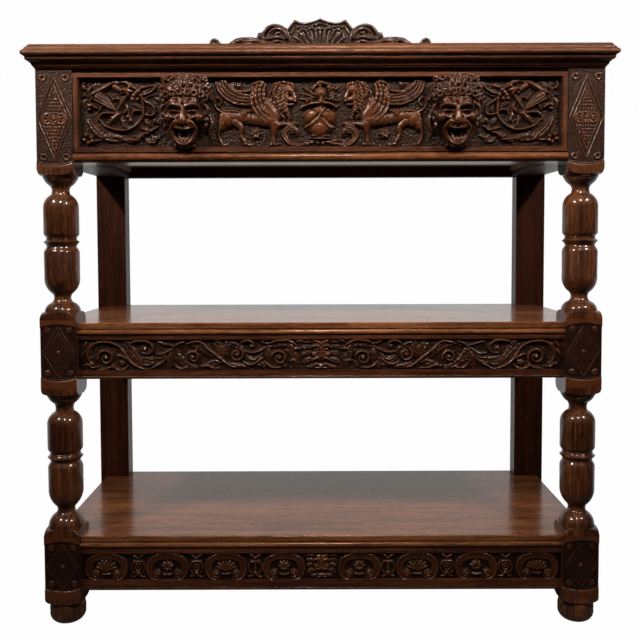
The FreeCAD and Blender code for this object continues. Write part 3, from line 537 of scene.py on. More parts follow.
# Turned front legs
def arc(start, through, end, steps=10):
    """Points on the circle through three points, without the first."""
    (ax, ay), (bx, by), (cx, cy) = start, through, end
    turn = 2 * (ax * (by - cy) + bx * (cy - ay) + cx * (ay - by))
    if abs(turn) < 1e-9:
        return [through, end]
    a, b, c = ax * ax + ay * ay, bx * bx + by * by, cx * cx + cy * cy
    middle = ((a * (by - cy) + b * (cy - ay) + c * (ay - by)) / turn,
              (a * (cx - bx) + b * (ax - cx) + c * (bx - ax)) / turn)
    radius = math.hypot(ax - middle[0], ay - middle[1])
    first = math.atan2(ay - middle[1], ax - middle[0])
    half = (math.atan2(by - middle[1], bx - middle[0]) - first) % (2 * math.pi)
    whole = (math.atan2(cy - middle[1], cx - middle[0]) - first) % (2 * math.pi)
    if half > whole:
        whole -= 2 * math.pi
    return [(middle[0] + radius * math.cos(first + whole * number / steps),
             middle[1] + radius * math.sin(first + whole * number / steps)) for number in range(1, steps + 1)]


def turning(shares, low, high):
    """The outline of a turning between two blocks, as (radius, height)."""
    outline = []
    for share in shares:
        if isinstance(share[0], tuple):
            points = [(radius * leg_stock, low + up * (high - low)) for up, radius in share]
            outline.extend(arc(outline[-1], points[0], points[1]))
        else:
            outline.append((share[1] * leg_stock, low + share[0] * (high - low)))
    return outline


def shoulder(low_radius, low, high_radius, high, rising):
    """The rounded end that turning leaves on a square block."""
    share = round_shoulder_share if rising else 1 - round_shoulder_share
    middle = (low_radius + (high_radius - low_radius) * share, low + (high - low) * (1 - share))
    return arc((low_radius, low), middle, (high_radius, high), 8)


def rows_between(low, high):
    count = max(1, round((high - low) / leg_row_step))
    return [low + (high - low) * number / count for number in range(count + 1)]


def leg_outline():
    """The leg's turned outline from its foot to its top, as (radius, height)."""
    lowest, middle, top = leg_block_ends
    foot_radius = leg_stock * lower_turning_shares[0][1]
    outline = [(0, leg_foot_z), (foot_radius, leg_foot_z)]
    outline += shoulder(foot_radius, leg_foot_z, leg_corner_radius, lowest[0], True)
    for below, above, shares in ((lowest, middle, lower_turning_shares), (middle, top, upper_turning_shares)):
        outline += [(leg_corner_radius, row) for row in rows_between(below[0] + 1.5, below[1])]
        start = below[1] + leg_shoulder
        end = above[0] - leg_shoulder
        turned = turning(shares, start, end)
        outline += shoulder(leg_corner_radius, below[1], turned[0][0], start, False)
        outline += turned[1:]
        outline += shoulder(turned[-1][0], end, leg_corner_radius, above[0], True)
    outline += [(leg_corner_radius, row) for row in rows_between(top[0] + 1.5, top[1] - 1.5)]
    return outline + [(leg_corner_radius, top[1]), (0, top[1])]


def turned_leg(side, sign):
    """A front leg: turned between square blocks, whose fronts are set back for the carved plaques."""
    shape = bmesh.new()
    axis = Vector((sign * leg_axis_x, leg_axis_y, 0))
    ring = [shape.verts.new(axis + Vector((radius, 0, height))) for radius, height in leg_outline()]
    line = [shape.edges.new(pair) for pair in zip(ring, ring[1:])]
    bmesh.ops.spin(shape, geom=ring + line, cent=axis, axis=(0, 0, 1), angle=2 * math.pi,
                   steps=leg_turn_steps, use_merge=True, use_duplicate=False)
    bmesh.ops.remove_doubles(shape, verts=shape.verts, dist=0.0005)
    half = leg_stock / 2
    for vert in shape.verts:
        offset = vert.co - axis
        front = half
        for low, high in leg_block_ends:
            if low + 1 < vert.co.z < high - 1:
                front = half - plaque_sinking - 0.5
        offset.x = max(-half, min(half, offset.x))
        offset.y = max(-front, min(half, offset.y))
        vert.co = (axis + offset) * MM
    bmesh.ops.recalc_face_normals(shape, faces=shape.faces)
    for face in shape.faces:
        face.smooth = True
    for edge in shape.edges:
        if len(edge.link_faces) == 2 and edge.calc_face_angle(0) > math.radians(30):
            edge.smooth = False
    leg = stand("turned_leg_" + side, shape, leg_finish, "carcase")
    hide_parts("front_leg_" + side)


for side, sign in (("left", -1), ("right", 1)):
    turned_leg(side, sign)


def lozenge(carving, method, centre, half_width, half_height, width, height):
    """A line round a lozenge, raised or cut."""
    top, low = (0, centre + half_height), (0, centre - half_height)
    points = [top, (half_width, centre), low, (-half_width, centre)]
    for start, end in zip(points, points[1:] + points[:1]):
        getattr(carving, method)([start, end], width, height)


def plaque_field(carving, low_edge, high_edge, sag):
    """Keeps the block's full face outside the curved ends of the sunk field."""
    bow = sag * (1 - (carving.across / (leg_stock / 2)) ** 2)
    outside = np.maximum(low_edge + sag - bow - carving.up, carving.up - (high_edge - sag + bow))
    edge = np.clip(outside / 0.8, 0, 1)
    carving.height = np.maximum(carving.height * (1 - edge), plaque_sinking * edge)
    lip = np.exp(-((outside + 1.6) / 1.0) ** 2)
    carving.height = np.maximum(carving.height, 0.55 * plaque_sinking * lip)


def carve_top_plaque(carving):
    """A tall lozenge with a dotted double line, scales inside it, and a ring boss in each corner."""
    across, up = carving.across, carving.up
    centre = 994.5
    half_width, half_height = 32.5, 79.0
    inner_share = 0.80
    level = 1 - np.abs(across) / half_width - np.abs(up - centre) / half_height
    carving.height += 0.7 + 0.55 * np.sin(across * 1.7) * np.sin(up * 1.5)
    inner = level > 1 - inner_share
    scales = np.abs(np.sin(across / 1.6)) * np.abs(np.sin((up - centre) / 2.1))
    carving.height[inner] = 1.35 + 0.95 * scales[inner]
    band = (level > 0) & (level < 1 - inner_share)
    carving.height[band] = 0.4
    for share in (0.90, 0.70):
        lozenge(carving, "cut", centre, half_width * share, half_height * share, 1.3, 0.7)
    lozenge(carving, "stroke", centre, half_width, half_height, 1.5, 2.2)
    lozenge(carving, "stroke", centre, half_width * inner_share, half_height * inner_share, 1.3, 2.2)
    for share in np.arange(0.04, 1, 0.05):
        for turn_x in (-1, 1):
            for turn_z in (-1, 1):
                dot_up = centre + turn_z * half_height * 0.90 * (1 - share)
                carving.boss((turn_x * half_width * 0.90 * share, dot_up), 1.3, 1.3, 0.4)
    for turn_x in (-1, 1):
        carving.drill((turn_x * 13.0, centre), 11.5, 1.1)
        carving.boss((turn_x * 13.5, centre), 10.0, 2.5, 1.6)
        carving.ring((turn_x * 13.5, centre), 9.2, 1.3, 2.9)
        for number in (-1, 0, 1):
            carving.drill((turn_x * (15.5 - 2.2 * abs(number)), centre + 5.8 * number), 2.4, 2.6)
    carving.drill((0, centre), 8.4, 2.2)
    carving.ring((0, centre), 6.2, 1.4, 2.6)
    carving.boss((0, centre), 4.6, 2.95, 1.0)
    for turn_x in (-1, 1):
        for ring_up in (1072.5, 921.0):
            carving.drill((turn_x * 22.0, ring_up), 9.4, 1.0)
            carving.boss((turn_x * 22.0, ring_up), 7.6, 1.9, 1.4)
            carving.ring((turn_x * 22.0, ring_up), 5.6, 1.7, 2.3)
            carving.drill((turn_x * 22.0, ring_up + 0.6), 3.6, 2.9)
    plaque_field(carving, 905.6, 1200.0, 6.0)


def carve_low_plaque(low_edge, high_edge):
    def carve(carving):
        """A stamped lozenge with a small boss, and a dome in each corner."""
        across, up = carving.across, carving.up
        centre = (low_edge + high_edge) / 2
        half_width, half_height = 31.0, (high_edge - low_edge) * 0.46
        inner_share = 0.78
        level = 1 - np.abs(across) / half_width - np.abs(up - centre) / half_height
        carving.height += 0.6 + 0.35 * np.sin(across * 1.9) * np.sin(up * 1.7)
        inner = level > 1 - inner_share
        lattice = np.abs(np.sin((across + 0.55 * up) / 2.1)) * np.abs(np.sin((across - 0.55 * up) / 2.1))
        carving.height[inner] = 0.7 + 0.8 * lattice[inner]
        lozenge(carving, "stroke", centre, half_width, half_height, 1.4, 1.8)
        lozenge(carving, "stroke", centre, half_width * inner_share, half_height * inner_share, 1.1, 1.5)
        carving.drill((0, centre), 7.6, 0.9)
        carving.boss((0, centre), 5.0, 2.9, 0.2)
        for turn_x in (-1, 1):
            for ring_up in (low_edge + 14.0, high_edge - 11.5):
                carving.drill((turn_x * 22.0, ring_up), 9.4, 0.9)
                carving.boss((turn_x * 22.0, ring_up), 7.4, 2.3, 0.0)
                carving.ring((turn_x * 22.0, ring_up), 5.2, 1.0, 2.1)
        plaque_field(carving, low_edge, high_edge, 6.0)
    return carve


plaques = [("top", leg_block_ends[2], carve_top_plaque),
           ("middle", leg_block_ends[1], carve_low_plaque(487.9, 597.5)),
           ("low", leg_block_ends[0], carve_low_plaque(70.1, 168.5))]
plaque_ground_y = leg_axis_y - leg_stock / 2 + plaque_sinking
for side, sign in (("left", -1), ("right", 1)):
    for level, ends, carve in plaques:
        carved_tile("leg_plaque_" + level + "_" + side, (-leg_stock / 2, leg_stock / 2), ends, 0.0, 0.7,
                    plaque_ground_y, plaque_ground_y + 0.6, plaque_sinking, carve, plaque_finish, "carcase",
                    sign * leg_axis_x, 0.5)


# The rail under the drawer, with a half round bead along its front, in millimetres
rail_half_length = 476.0
rail_back_y, rail_front_y, bead_back_y, bead_front_y = -145.0, -208.5, -207.0, -215.0
rail_foot_z, bead_foot_z, bead_middle_z, bead_head_z = 911.6, 912.4, 921.0, 929.6


def beaded_rail():
    """The rail under the drawer, no deeper than its bead."""
    shape = bmesh.new()
    foot, front, head = (bead_back_y, bead_foot_z), (bead_front_y, bead_middle_z), (bead_back_y, bead_head_z)
    section = [(rail_back_y, rail_foot_z), (rail_front_y, rail_foot_z), foot, *arc(foot, front, head, 16),
               (rail_back_y, bead_head_z)]
    points = [shape.verts.new((-rail_half_length * MM, y * MM, z * MM)) for y, z in section]
    end_face = shape.faces.new(points)
    grown = bmesh.ops.extrude_face_region(shape, geom=[end_face], use_keep_orig=True)["geom"]
    moved = [part for part in grown if isinstance(part, bmesh.types.BMVert)]
    bmesh.ops.translate(shape, vec=(2 * rail_half_length * MM, 0, 0), verts=moved)
    bmesh.ops.recalc_face_normals(shape, faces=shape.faces)
    for face in shape.faces:
        face.smooth = len(face.verts) == 4
    for edge in shape.edges:
        edge.smooth = edge.calc_face_angle(0) < math.radians(35)
    return shape


rail = stand("beaded_rail", beaded_rail(), bead_finish, "carcase")
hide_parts("drawer_rail")


# Carving on the drawer, in millimetres from the middle of the panel
def carve_lion(carving):
    """A winged lion on the left, facing the middle, and its pair on the right."""
    both = carving.both
    both("stroke", (-126, 24, -156, 27, -180, 38, -193, 55), 12, 4, (0.9, 1, 1, 0.7))
    for points in (
            (-129, 15, -160, 17, -183, 28, -196, 42, -200, 57),
            (-130, 21, -159, 23, -180, 33, -191, 45, -195, 59),
            (-131, 27, -156, 29, -175, 38, -186, 48, -189, 60),
            (-131, 33, -152, 34, -169, 42, -179, 51, -183, 60),
            (-120, 53, -130, 45, -146, 40, -162, 42, -176, 54)):
        both("vein", points, 2.9, 7.8, (0.8, 1, 1, 0.9), 0.5)
    for number in range(5):
        across = -171 + 4.2 * number
        both("stroke", (across, 46, across - 0.5, 52, across + 1, 58), 1.8, 5.8, (0.6, 1, 0.7))
    carving.pairs((
        ("stroke", (183, -8, 164, -8, 142, -11, 121, -14, 104, -16), 13, 8, (1.1, 0.95, 0.9, 0.95, 1)),
        ("boss", (180, -14), 16.5, 9.4), ("boss", (146, -3), 9, 9, 3),
        ("stroke", (183, 2, 170, 3, 158, 1), 3, 9.4, (0.6, 1, 0.5), 4),
        ("stroke", (150, 3, 140, 2, 134, 3), 3.2, 9.6, (0.6, 1, 0.5), 4)))
    for number in range(3):
        across = -140 + 7 * number
        both("cut", (across, -2, across - 3, -11, across - 1, -20), 1.4, 1.3)
    carving.pairs((
        ("stroke", (182, -6, 189, -16, 190, -27), 9, 8.2),
        ("stroke", (188, -22, 196, -37, 195, -49, 190, -59), 5, 7.4, (1.5, 0.9, 0.6, 0.8)),
        ("stroke", (191, -61, 182, -62), 3.4, 6),
        ("stroke", (164, -18, 153, -29, 153, -44, 146, -56), 6.2, 7.2, (1.6, 1.1, 0.7, 0.8)),
        ("stroke", (146, -60, 133, -62), 3.8, 6.2),
        ("stroke", (190, 1, 200, 8, 204, 20, 197, 30, 191, 22, 195, 12), 2.6, 6.4, (1.2, 1, 1, 0.8)),
        ("boss", (196, 14), 4, 7),
        ("stroke", (102, 20, 97, 4, 92, -8, 90, -20), 14, 8.8, (0.8, 0.95, 1.05, 0.9)),
        ("boss", (93, -16), 14.5, 10),
        ("stroke", (89, -22, 90, -36, 91, -48, 91, -57), 7.4, 8.4, (1.5, 1, 0.65, 0.8))))
    for across in (-95, -89, -83):
        both("boss", (across, -61), 4, 7)
    both("stroke", (-86, -26, -74, -22, -60, -22, -48, -22), 5.4, 7.6, (1.4, 1, 0.75, 0.9))
    for across in (-62, -56, -50, -45):
        both("boss", (across, -18 - 0.2 * across - 12), 3, 7.8, 2)
    feathers = (
        (-124, 48, -131, 34, -131, 17, -125, 3, -113, -12, -98, -24),
        (-119, 52, -125, 38, -123.5, 20, -117, 5, -105, -9, -90, -20),
        (-112, 54, -117, 40, -116, 24, -110, 8, -98, -4, -86, -14),
        (-105, 53, -109, 40, -108, 27, -101, 13.5, -91, 1.5, -82.5, -9))
    for points in feathers:
        both("vein", points, 3.7, 10.4, (0.7, 1, 1, 1, 0.9, 0.5), 2.5)
        for share in (0.12, 0.24, 0.36, 0.48):
            line = smooth_line(points)
            across, up = line[int(share * (len(line) - 1))]
            both("cut", (across - 3.5, up + 1, across, up - 2, across + 3.5, up + 1), 1, 1.8)
    carving.pairs((
        ("vein", (106, 54, 116, 59, 128, 54, 132, 46), 3.2, 8.6, (0.7, 1, 1, 0.8)),
        ("rosette", (124.5, -41), 11, 8.4, 6), ("drill", (124.5, -41), 2.6, 4),
        ("stroke", (74, 46, 82, 30, 82, 12, 74, -6), 17, 6.4, (0.9, 1, 0.9, 0.4)),
        ("ridge", (90, 49, 97, 38, 101, 22, 99, 8), 3.2, 9, (0.7, 1, 1, 0.5), 2),
        ("ridge", (86, 46, 92, 34, 94, 18, 90, 4), 2.6, 8.6, (0.7, 1, 1, 0.5), 2)))
    for row, (top, spread, low) in enumerate(((54, -84, 26), (52, -76, 6), (48, -70, -4), (42, -64, -14))):
        for number in range(7):
            share = (number + 0.5 * (row % 2)) / 7
            across = spread - 5 * math.sin(math.pi * share) + 2.4 * (row - 1) * share
            up = top + (low - top) * share
            both("stroke", (across - 2.6, up + 3.2, across + 1.2, up + 2.2, across + 2.4, up - 1.4,
                            across - 0.6, up - 3, across - 1.4, up - 0.6), 1.8, 9.6, (0.8, 1, 1, 0.8), 4)
            both("drill", (across - 3.6, up - 2.6), 1.5, 3)
    both("stroke", (-72, -6, -69, -11, -70, -16), 2.6, 8, (1, 1, 0.4))
    for across, up in ((-88, 53), (-80, 56), (-72, 57.5), (-64, 57.5), (-57, 55.5)):
        both("stroke", (across - 3, up - 3, across, up + 1, across + 4, up - 1, across + 3, up - 4),
             2, 8.8, (0.7, 1, 1, 0.6))
    carving.pairs((
        ("boss", (62, 44), 12.5, 9.4), ("stroke", (62, 54, 54, 53, 52, 45), 3.4, 9.8, (0.8, 1, 1), 4),
        ("stroke", (66, 43, 59, 42, 52, 40), 2.8, 10.4, (0.7, 1, 0.9), 5),
        ("stroke", (56, 42, 52, 35, 49.5, 28), 4.8, 9.8, (0.8, 0.9, 1), 4),
        ("stroke", (64, 26, 57, 24.5, 50.5, 24), 6.2, 9.2, (1, 1, 0.95), 3),
        ("boss", (48.5, 27.5), 3.6, 10.6, 4), ("boss", (49.5, 21.5), 4, 9.6, 4),
        ("boss", (66, 29), 7, 9, 4), ("stroke", (66, 16.5, 59, 14.5, 53, 15.5), 4, 8, (1.1, 1, 0.8)),
        ("stroke", (67, 11, 63, 4, 65, -3), 3, 7.4, (1, 1, 0.4)),
        ("cut", (46, 18, 53, 18.8, 61, 20), 1.3, 4.4, (0.9, 1.1, 0.9)), ("drill", (61.5, 20), 1.8, 3.5),
        ("drill", (59, 36.5), 2.6, 3.2), ("boss", (58.5, 37), 1.7, 9, 5), ("drill", (47, 26), 1.3, 2.4)))


def carve_roundel(carving):
    """A scroll of vine, leaves and a beaked bird at each end."""
    both = carving.both
    masses = (
        ((-448, -14, -437, -30, -424, -42, -406, -50, -388, -52), 9.5, 7.2, 6),
        ((-412, -42, -396, -45, -380, -49, -362, -52), 7.5, 6.4, 5),
        ((-378, -51, -366, -54, -350, -52), 5.4, 8.4, 3),
        ((-446, 32, -432, 40, -416, 48, -398, 57, -384, 60), 7, 7.4, 6),
        ((-386, 60, -370, 56, -358, 48, -350, 40), 6, 7.2, 4),
        ((-442, 46, -434, 52, -424, 57), 5.6, 3.8, 3), ((-348, 34, -336, 39, -324, 46, -314, 56), 6, 6, 4),
        ((-350, 45, -336, 50, -318, 53), 4.8, 6.6, 3), ((-340, 28, -330, 34, -316, 36), 5, 4.6, 3),
        ((-340, -10, -333, -18, -324, -26), 7, 5.6, 3),
        ((-358, -46, -347, -45, -338, -39, -330, -39), 5.4, 7.6, 3),
        ((-347, -29, -336, -32, -326, -34, -314, -26), 5.4, 8, 3),
        ((-338, -50, -330, -54, -318, -56), 6.6, 5.4, 3), ((-326, -44, -318, -48, -308, -44), 5.4, 5.4, 3),
        ((-322, -12, -314, -18, -306, -18), 4.6, 5.6, 2), ((-446, 36, -448, 46, -444, 56), 4.4, 6.2, 3),
        ((-455, 44, -457, 52, -456, 60), 3.8, 6.8, 2), ((-366, 22, -356, 16, -348, 10), 6, 4.2, 3),
        ((-386, -8, -380, -18, -372, -26), 5.4, 4.4, 3), ((-366, -2, -366, -12, -372, -20), 4, 5, 2),
        ((-318, 30, -308, 22, -303, 10), 4.6, 5.4, 3), ((-452, 26, -458, 18, -456, 8), 3.6, 4.6, 2))
    for points, width, height, lobes in masses:
        both("leaf", points, width, height, lobes, (0.45, 1, 1, 0.8, 0.5))
    carving.pairs((
        ("ridge", (441, -18, 434, -28, 427, -36, 415, -48), 2.4, 9, (0.8, 1, 1, 0.5), 3),
        ("ridge", (434, -22, 424, -32, 412, -38), 2, 8, (0.7, 1, 0.5), 3),
        ("ridge", (404, -44, 392, -46, 384, -50), 2.4, 7.6, (0.6, 1, 0.6), 3),
        ("stroke", (374, -50, 364, -52, 352, -52), 2.8, 9.6, (0.7, 1, 0.7), 4),
        ("ridge", (441, 36, 429, 41, 413, 49, 397, 58), 4, 9.8, (0.5, 1, 1.2, 0.7), 3),
        ("ridge", (426, 45, 415, 52, 404, 58), 2.4, 9.6, (0.6, 1, 0.6), 4),
        ("ridge", (380, 60, 368, 54, 359, 48, 351, 42), 2.2, 9, (0.7, 1, 1, 0.6), 3),
        ("stroke", (396, 50, 388, 45, 381, 38), 6.6, 8, (0.9, 1, 0.6), 1), ("boss", (373, 42), 7.4, 9.8, 2),
        ("stroke", (381, 44, 371, 43, 363, 41), 3.6, 10.2, (0.8, 1, 0.7), 5),
        ("stroke", (371, 41, 370, 35, 374, 31), 3, 9.6, (1, 1, 0.5), 4), ("drill", (381, 41), 2, 3),
        ("drill", (377, 37), 1.6, 3)))
    for place in ((-359.5, 33), (-345, 33), (-362, 26), (-350, 42), (-367, 50), (-352, 26), (-355, 38)):
        both("boss", place, 4.6, 8.8, 2)
    both("stroke", (-427, 33, -409, 18, -394, 3), 10, 6.8, (1, 0.85, 0.45))
    for shift in (-7, -2.4, 2.4, 7):
        both("ridge", (-431 + 0.7 * shift, 33 + shift, -410 + 0.6 * shift, 19 + 0.7 * shift, -394, 4),
             2.2, 8.8, (0.9, 1, 0.6), 3)
    carving.pairs((
        ("ridge", (408, 37, 402, 31, 397, 24), 2.8, 8.4, (0.6, 1, 0.8), 2), ("boss", (398, 26), 3, 9.4, 4),
        ("stroke", (396, 28, 390, 28, 385, 25), 1.8, 7.4, (0.7, 1, 0.7)),
        ("vein", (377, 29, 384, 20, 390, 9), 4.4, 8.6, (1, 1, 0.7)),
        ("ridge", (374, 16, 371, 9, 378, 1), 4.4, 9, (0.6, 1, 0.9), 3),
        ("stroke", (440, 30, 444, 25, 444, 20), 1.9, 7.8, (0.8, 1, 0.7)),
        ("stroke", (448, 13, 440, 15, 431, 9), 3.6, 8.4, (0.9, 1.1, 0.7), 3), ("boss", (445, 7), 4.6, 7),
        ("drill", (441, 4), 2.4, 3), ("stroke", (421, 14, 424, 9, 427, 3), 1.8, 6.8),
        ("stroke", (428, -14, 425, -6, 418, -0.5, 406, -0.5, 391, -0.5), 2.7, 9, (0.8, 1, 1, 1, 0.9)),
        ("ridge", (389, -2, 401, -13, 409, -23), 5.8, 10, (1, 1.1, 0.4), 2)))
    for number in range(4):
        both("stroke", (-396 - 4 * number, -4 - 5 * number, -400 - 4 * number, -3 - 5 * number), 1.2, 9.4)
    carving.pairs((
        ("stroke", (424, -14, 414, -25, 398, -31, 378, -33.5, 363, -28, 352, -20, 343, -8, 341, 5, 342, 18,
                    343, 30), 2.5, 8.6, (0.8, 1, 1, 1, 1, 1, 1, 0.9, 0.8)),
        ("stroke", (343, 3, 352, 4.6, 360, 3, 363, -4), 2.3, 8, (0.8, 1, 1.1, 0.9)),
        ("stroke", (369, 5, 370, -6, 365, -15), 2, 6.6, (0.8, 1, 0.8)),
        ("stroke", (381, -6, 380, -22, 372, -28, 362, -27), 2.2, 7, (0.8, 1, 1, 0.7))))
    for place in ((-376, -16), (-366, -15), (-375, -27), (-372, -7)):
        both("boss", place, 3.2, 7)
    carving.pairs((
        ("stroke", (341, 26, 331, 19, 322, 13, 319, 4, 321, -3, 330, -5, 339, -3),
         2.5, 8.2, (0.9, 1, 1, 1, 1, 1, 0.9)),
        ("stroke", (333, 10, 330, 3, 334, -1), 1.8, 5.8),
        ("ridge", (340, 35, 331, 37, 322, 43, 315, 51), 2.2, 9.2, (0.6, 1, 1, 0.5), 4),
        ("ridge", (348, 47, 335, 49, 319, 52), 1.9, 8.8, (0.6, 1, 0.5), 4),
        ("ridge", (356, -46, 348.5, -47, 341, -40, 332, -39), 2.2, 9.4, (0.6, 1, 1, 0.6), 3),
        ("ridge", (345, -29, 335, -33, 326, -34.5, 315, -27), 2.4, 9.4, (0.7, 1.1, 1, 0.5), 3),
        ("boss", (320, -17), 3.2, 8.6)))
    for place in ((-452.7, -42), (-442, -46.5), (-448.5, -57), (-456, -51), (-441, -54)):
        both("boss", place, 4.4, 8.8, 2)
    carving.pairs((
        ("drill", (448, -50), 2.8, 4.4), ("stroke", (441, -52, 432, -53, 422, -52), 2, 6.6, (1, 1, 0.5))))
    for place in ((-456, 57), (-447, 52), (-452, 46), (-455, 33)):
        both("boss", place, 2.9, 8.2)
    carving.pairs((
        ("stroke", (447, 38, 444, 45, 442, 51), 1.9, 8, (0.7, 1, 0.7)),
        ("ridge", (212, 52, 215, 38, 210, 24), 3.6, 6.4, (0.6, 1, 0.6), 2),
        ("leaf", (213, -2, 209, -18, 214, -36, 210, -54), 5.4, 6.2, 5),
        ("ridge", (213, -6, 210, -20, 213, -36), 1.6, 7.8, (0.6, 1, 0.5), 3),
        ("leaf", (306, 56, 309, 40, 306, 30), 4.4, 5, 3),
        ("leaf", (304, -2, 310, -12, 306, -30), 4.4, 5.4, 3)))


def carve_cartouche(carving):
    """A bulbous shield crossed by bands, with fruit and flowers over it and scrolls below."""
    chosen = carving.near((-2, -19), 36)
    out = np.hypot((carving.across[chosen] + 2) / 33, (carving.up[chosen] + 18) / 27.5)
    carving.lift(chosen, out, 8.6 * dome(out) ** 0.8)
    for place, radius in (((-18, -9), 15), ((15, -9), 15.5), ((-2, -31), 15.5), ((-2, 2), 10)):
        carving.boss(place, radius, 10.2, 3.5)
    carving.each((
        ("cut", (-31, -26, -18, -17, -4, -4), 2.2, 2), ("cut", (27, -27, 12, -15, -2, -4), 2.2, 1.6),
        ("stroke", (6, 5, -5, -12, -16, -22, -28, -28), 2.3, 10.6, (1, 1, 1, 0.8), 7),
        ("stroke", (-1, -10, 8, -18, 20, -30), 2, 9.8, (1, 1, 0.8), 6.5),
        ("stroke", (12, 3, 20, -1, 27, -10), 2.4, 10.6, (0.8, 1, 0.6), 6),
        ("stroke", (-33, -8, -29, -1, -20, 5), 2.2, 9.8, (0.7, 1, 0.7), 5),
        ("ring", (-3, -2), 4.6, 1.5, 10.6)))
    for place in ((-10, 6), (-2, 8), (8, 8), (15, 4)):
        carving.boss(place, 3.4, 10.2, 5)
    for place in ((-22, -6), (-12, -14), (16, -12), (24, -16), (-4, -28), (2, -34)):
        carving.drill(place, 1.5, 1)
    carving.each((
        ("stroke", (-35, 10, -20, 16, 0, 18.5, 18, 17, 31, 10), 3.2, 9.6, (0.9, 1, 1, 1, 0.9)),
        ("stroke", (-36, 8, -34, 14), 2.6, 8), ("stroke", (30, 8, 34, 13), 2.6, 8),
        ("boss", (0, 37), 12.5, 9.8)))
    for place in ((-5, 43), (0, 44), (5, 42), (-8, 37), (8, 37), (-3, 39)):
        carving.drill(place, 1.5, 2.2)
    carving.ridge((1, 35, 2, 27, 2, 20), 7.4, 10.2, (0.4, 0.9, 1.2), 4)
    berries = (-11, 50, -5, 54, 12, 55, 5, 57, 16, 48, -14, 46, 19, 53, 0, 51, 24, 47, -1, 58)
    for place in np.reshape(berries, (-1, 2)):
        carving.boss(place, 4.4, 8.4)
        carving.drill(place, 1.2, 1.4)
    for points in (
            (-10, 32, -20, 40, -34, 49), (-11, 28, -24, 33, -39, 37), (-10, 23, -24, 25, -40, 26),
            (14, 24, 24, 26, 34, 20), (26, 42, 32, 46, 36, 50), (14, 42, 20, 44, 26, 52)):
        carving.leaf(points, 4.8, 7.6, 4)
        carving.ridge(points, 1.2, 8.4, (0.6, 1, 0.5), 3)
    carving.rosette((23, 34), 8.8, 8.4, 5)
    carving.drill((23, 34), 2.2, 2.6)
    for place in ((-26, 21), (-18, 20), (-32, 30), (12, 27), (31, 29), (34, 24)):
        carving.boss(place, 2.8, 7.6)
    carving.each((
        ("stroke", (-22, -49, 0, -50, 19, -49), 2.4, 8.8, (0.6, 1, 0.6)),
        ("stroke", (-16, -44, 0, -46, 15, -44), 2.6, 6.4)))
    carving.both("vein", (-46, -33, -55, -27, -64, -31, -70, -41, -66, -51, -56, -60, -42, -62, -28, -58),
        5, 8.8, (0.7, 1, 1.1, 1.1, 1, 0.9, 0.7, 0.4), 1)
    for reach in (9.5, 5.5):
        carving.both("stroke", spiral((-57, -43), reach, 0.08, 0.55, 0.9), 1.6, 7.4)
    carving.pairs((
        ("stroke", (46, -34, 44, -40, 48, -45), 2.6, 8, (1, 1, 0.6)),
        ("leaf", (44, -58, 30, -60, 14, -56, 4, -55), 4, 7.4, 5),
        ("stroke", (40, -54, 28, -54, 16, -54), 2, 6.8, (0.5, 1, 0.5)), ("boss", (5, -58), 3.6, 6.8)))


def carve_panel(carving):
    carving.height += 0.16 * np.sin(carving.across * 0.83 + 0.31 * carving.up) * np.sin(carving.up * 0.97)
    carve_roundel(carving)
    carve_lion(carving)
    carve_cartouche(carving)


def carve_small_mask(carving, share):
    """A little grotesque mask of leaves: heavy brows, a broad nose and a moustache."""
    def spot(line, turn=1):
        return np.reshape(line, (-1, 2)) * (turn, 1) * share

    carving.stroke(spot((0, 16, 0, -14)), 17 * share, 4.6, (0.9, 1, 0.75))
    for turn in (-1, 1):
        carving.leaf(spot((14, 22, 26, 26, 42, 24), turn), 5 * share, 5, 4)
        carving.leaf(spot((18, 14, 30, 15, 40, 10), turn), 5 * share, 4.6, 3)
        carving.leaf(spot((16, 4, 28, 2, 38, -4), turn), 6 * share, 4.4, 3)
        carving.leaf(spot((14, -8, 26, -12, 38, -20), turn), 6.5 * share, 4.6, 4)
        carving.leaf(spot((8, -18, 18, -24, 30, -26), turn), 4.5 * share, 4.2, 3)
        carving.stroke(spot((1.5, 12, 7, 17.5, 15, 17, 20, 12), turn), 3.2 * share, 6.6, (0.8, 1.1, 1, 0.5))
        carving.stroke(spot((2, 20, 7, 25, 13, 27), turn), 2.8 * share, 5.8)
        carving.drill(spot((9, 9.5), turn), 4.4 * share, 2.6)
        carving.stroke(spot((5, 9, 9, 11, 13, 9), turn), 1.6 * share, 5)
        carving.boss(spot((9, 8.5), turn), 2 * share, 4.8, 1)
        carving.boss(spot((12, -1), turn), 6.8 * share, 5.4)
        carving.stroke(spot((2, -7, 9, -7, 16, -10, 19, -15), turn), 3.2 * share, 6, (0.9, 1, 0.7, 0.4))
        carving.boss(spot((4.2, -3), turn), 3 * share, 6.2)
    carving.stroke(spot((0, 13, 0, -4)), 3.4 * share, 6.8, (0.6, 1.3))
    carving.cut(spot((-9, -14, 0, -15, 9, -14)), 2.6 * share, 4)
    carving.stroke(spot((-7, -20, 0, -21.5, 7, -20)), 2.8 * share, 5.8)
    carving.stroke(spot((-10, -27, 0, -26, 10, -27)), 2.6 * share, 4.4)


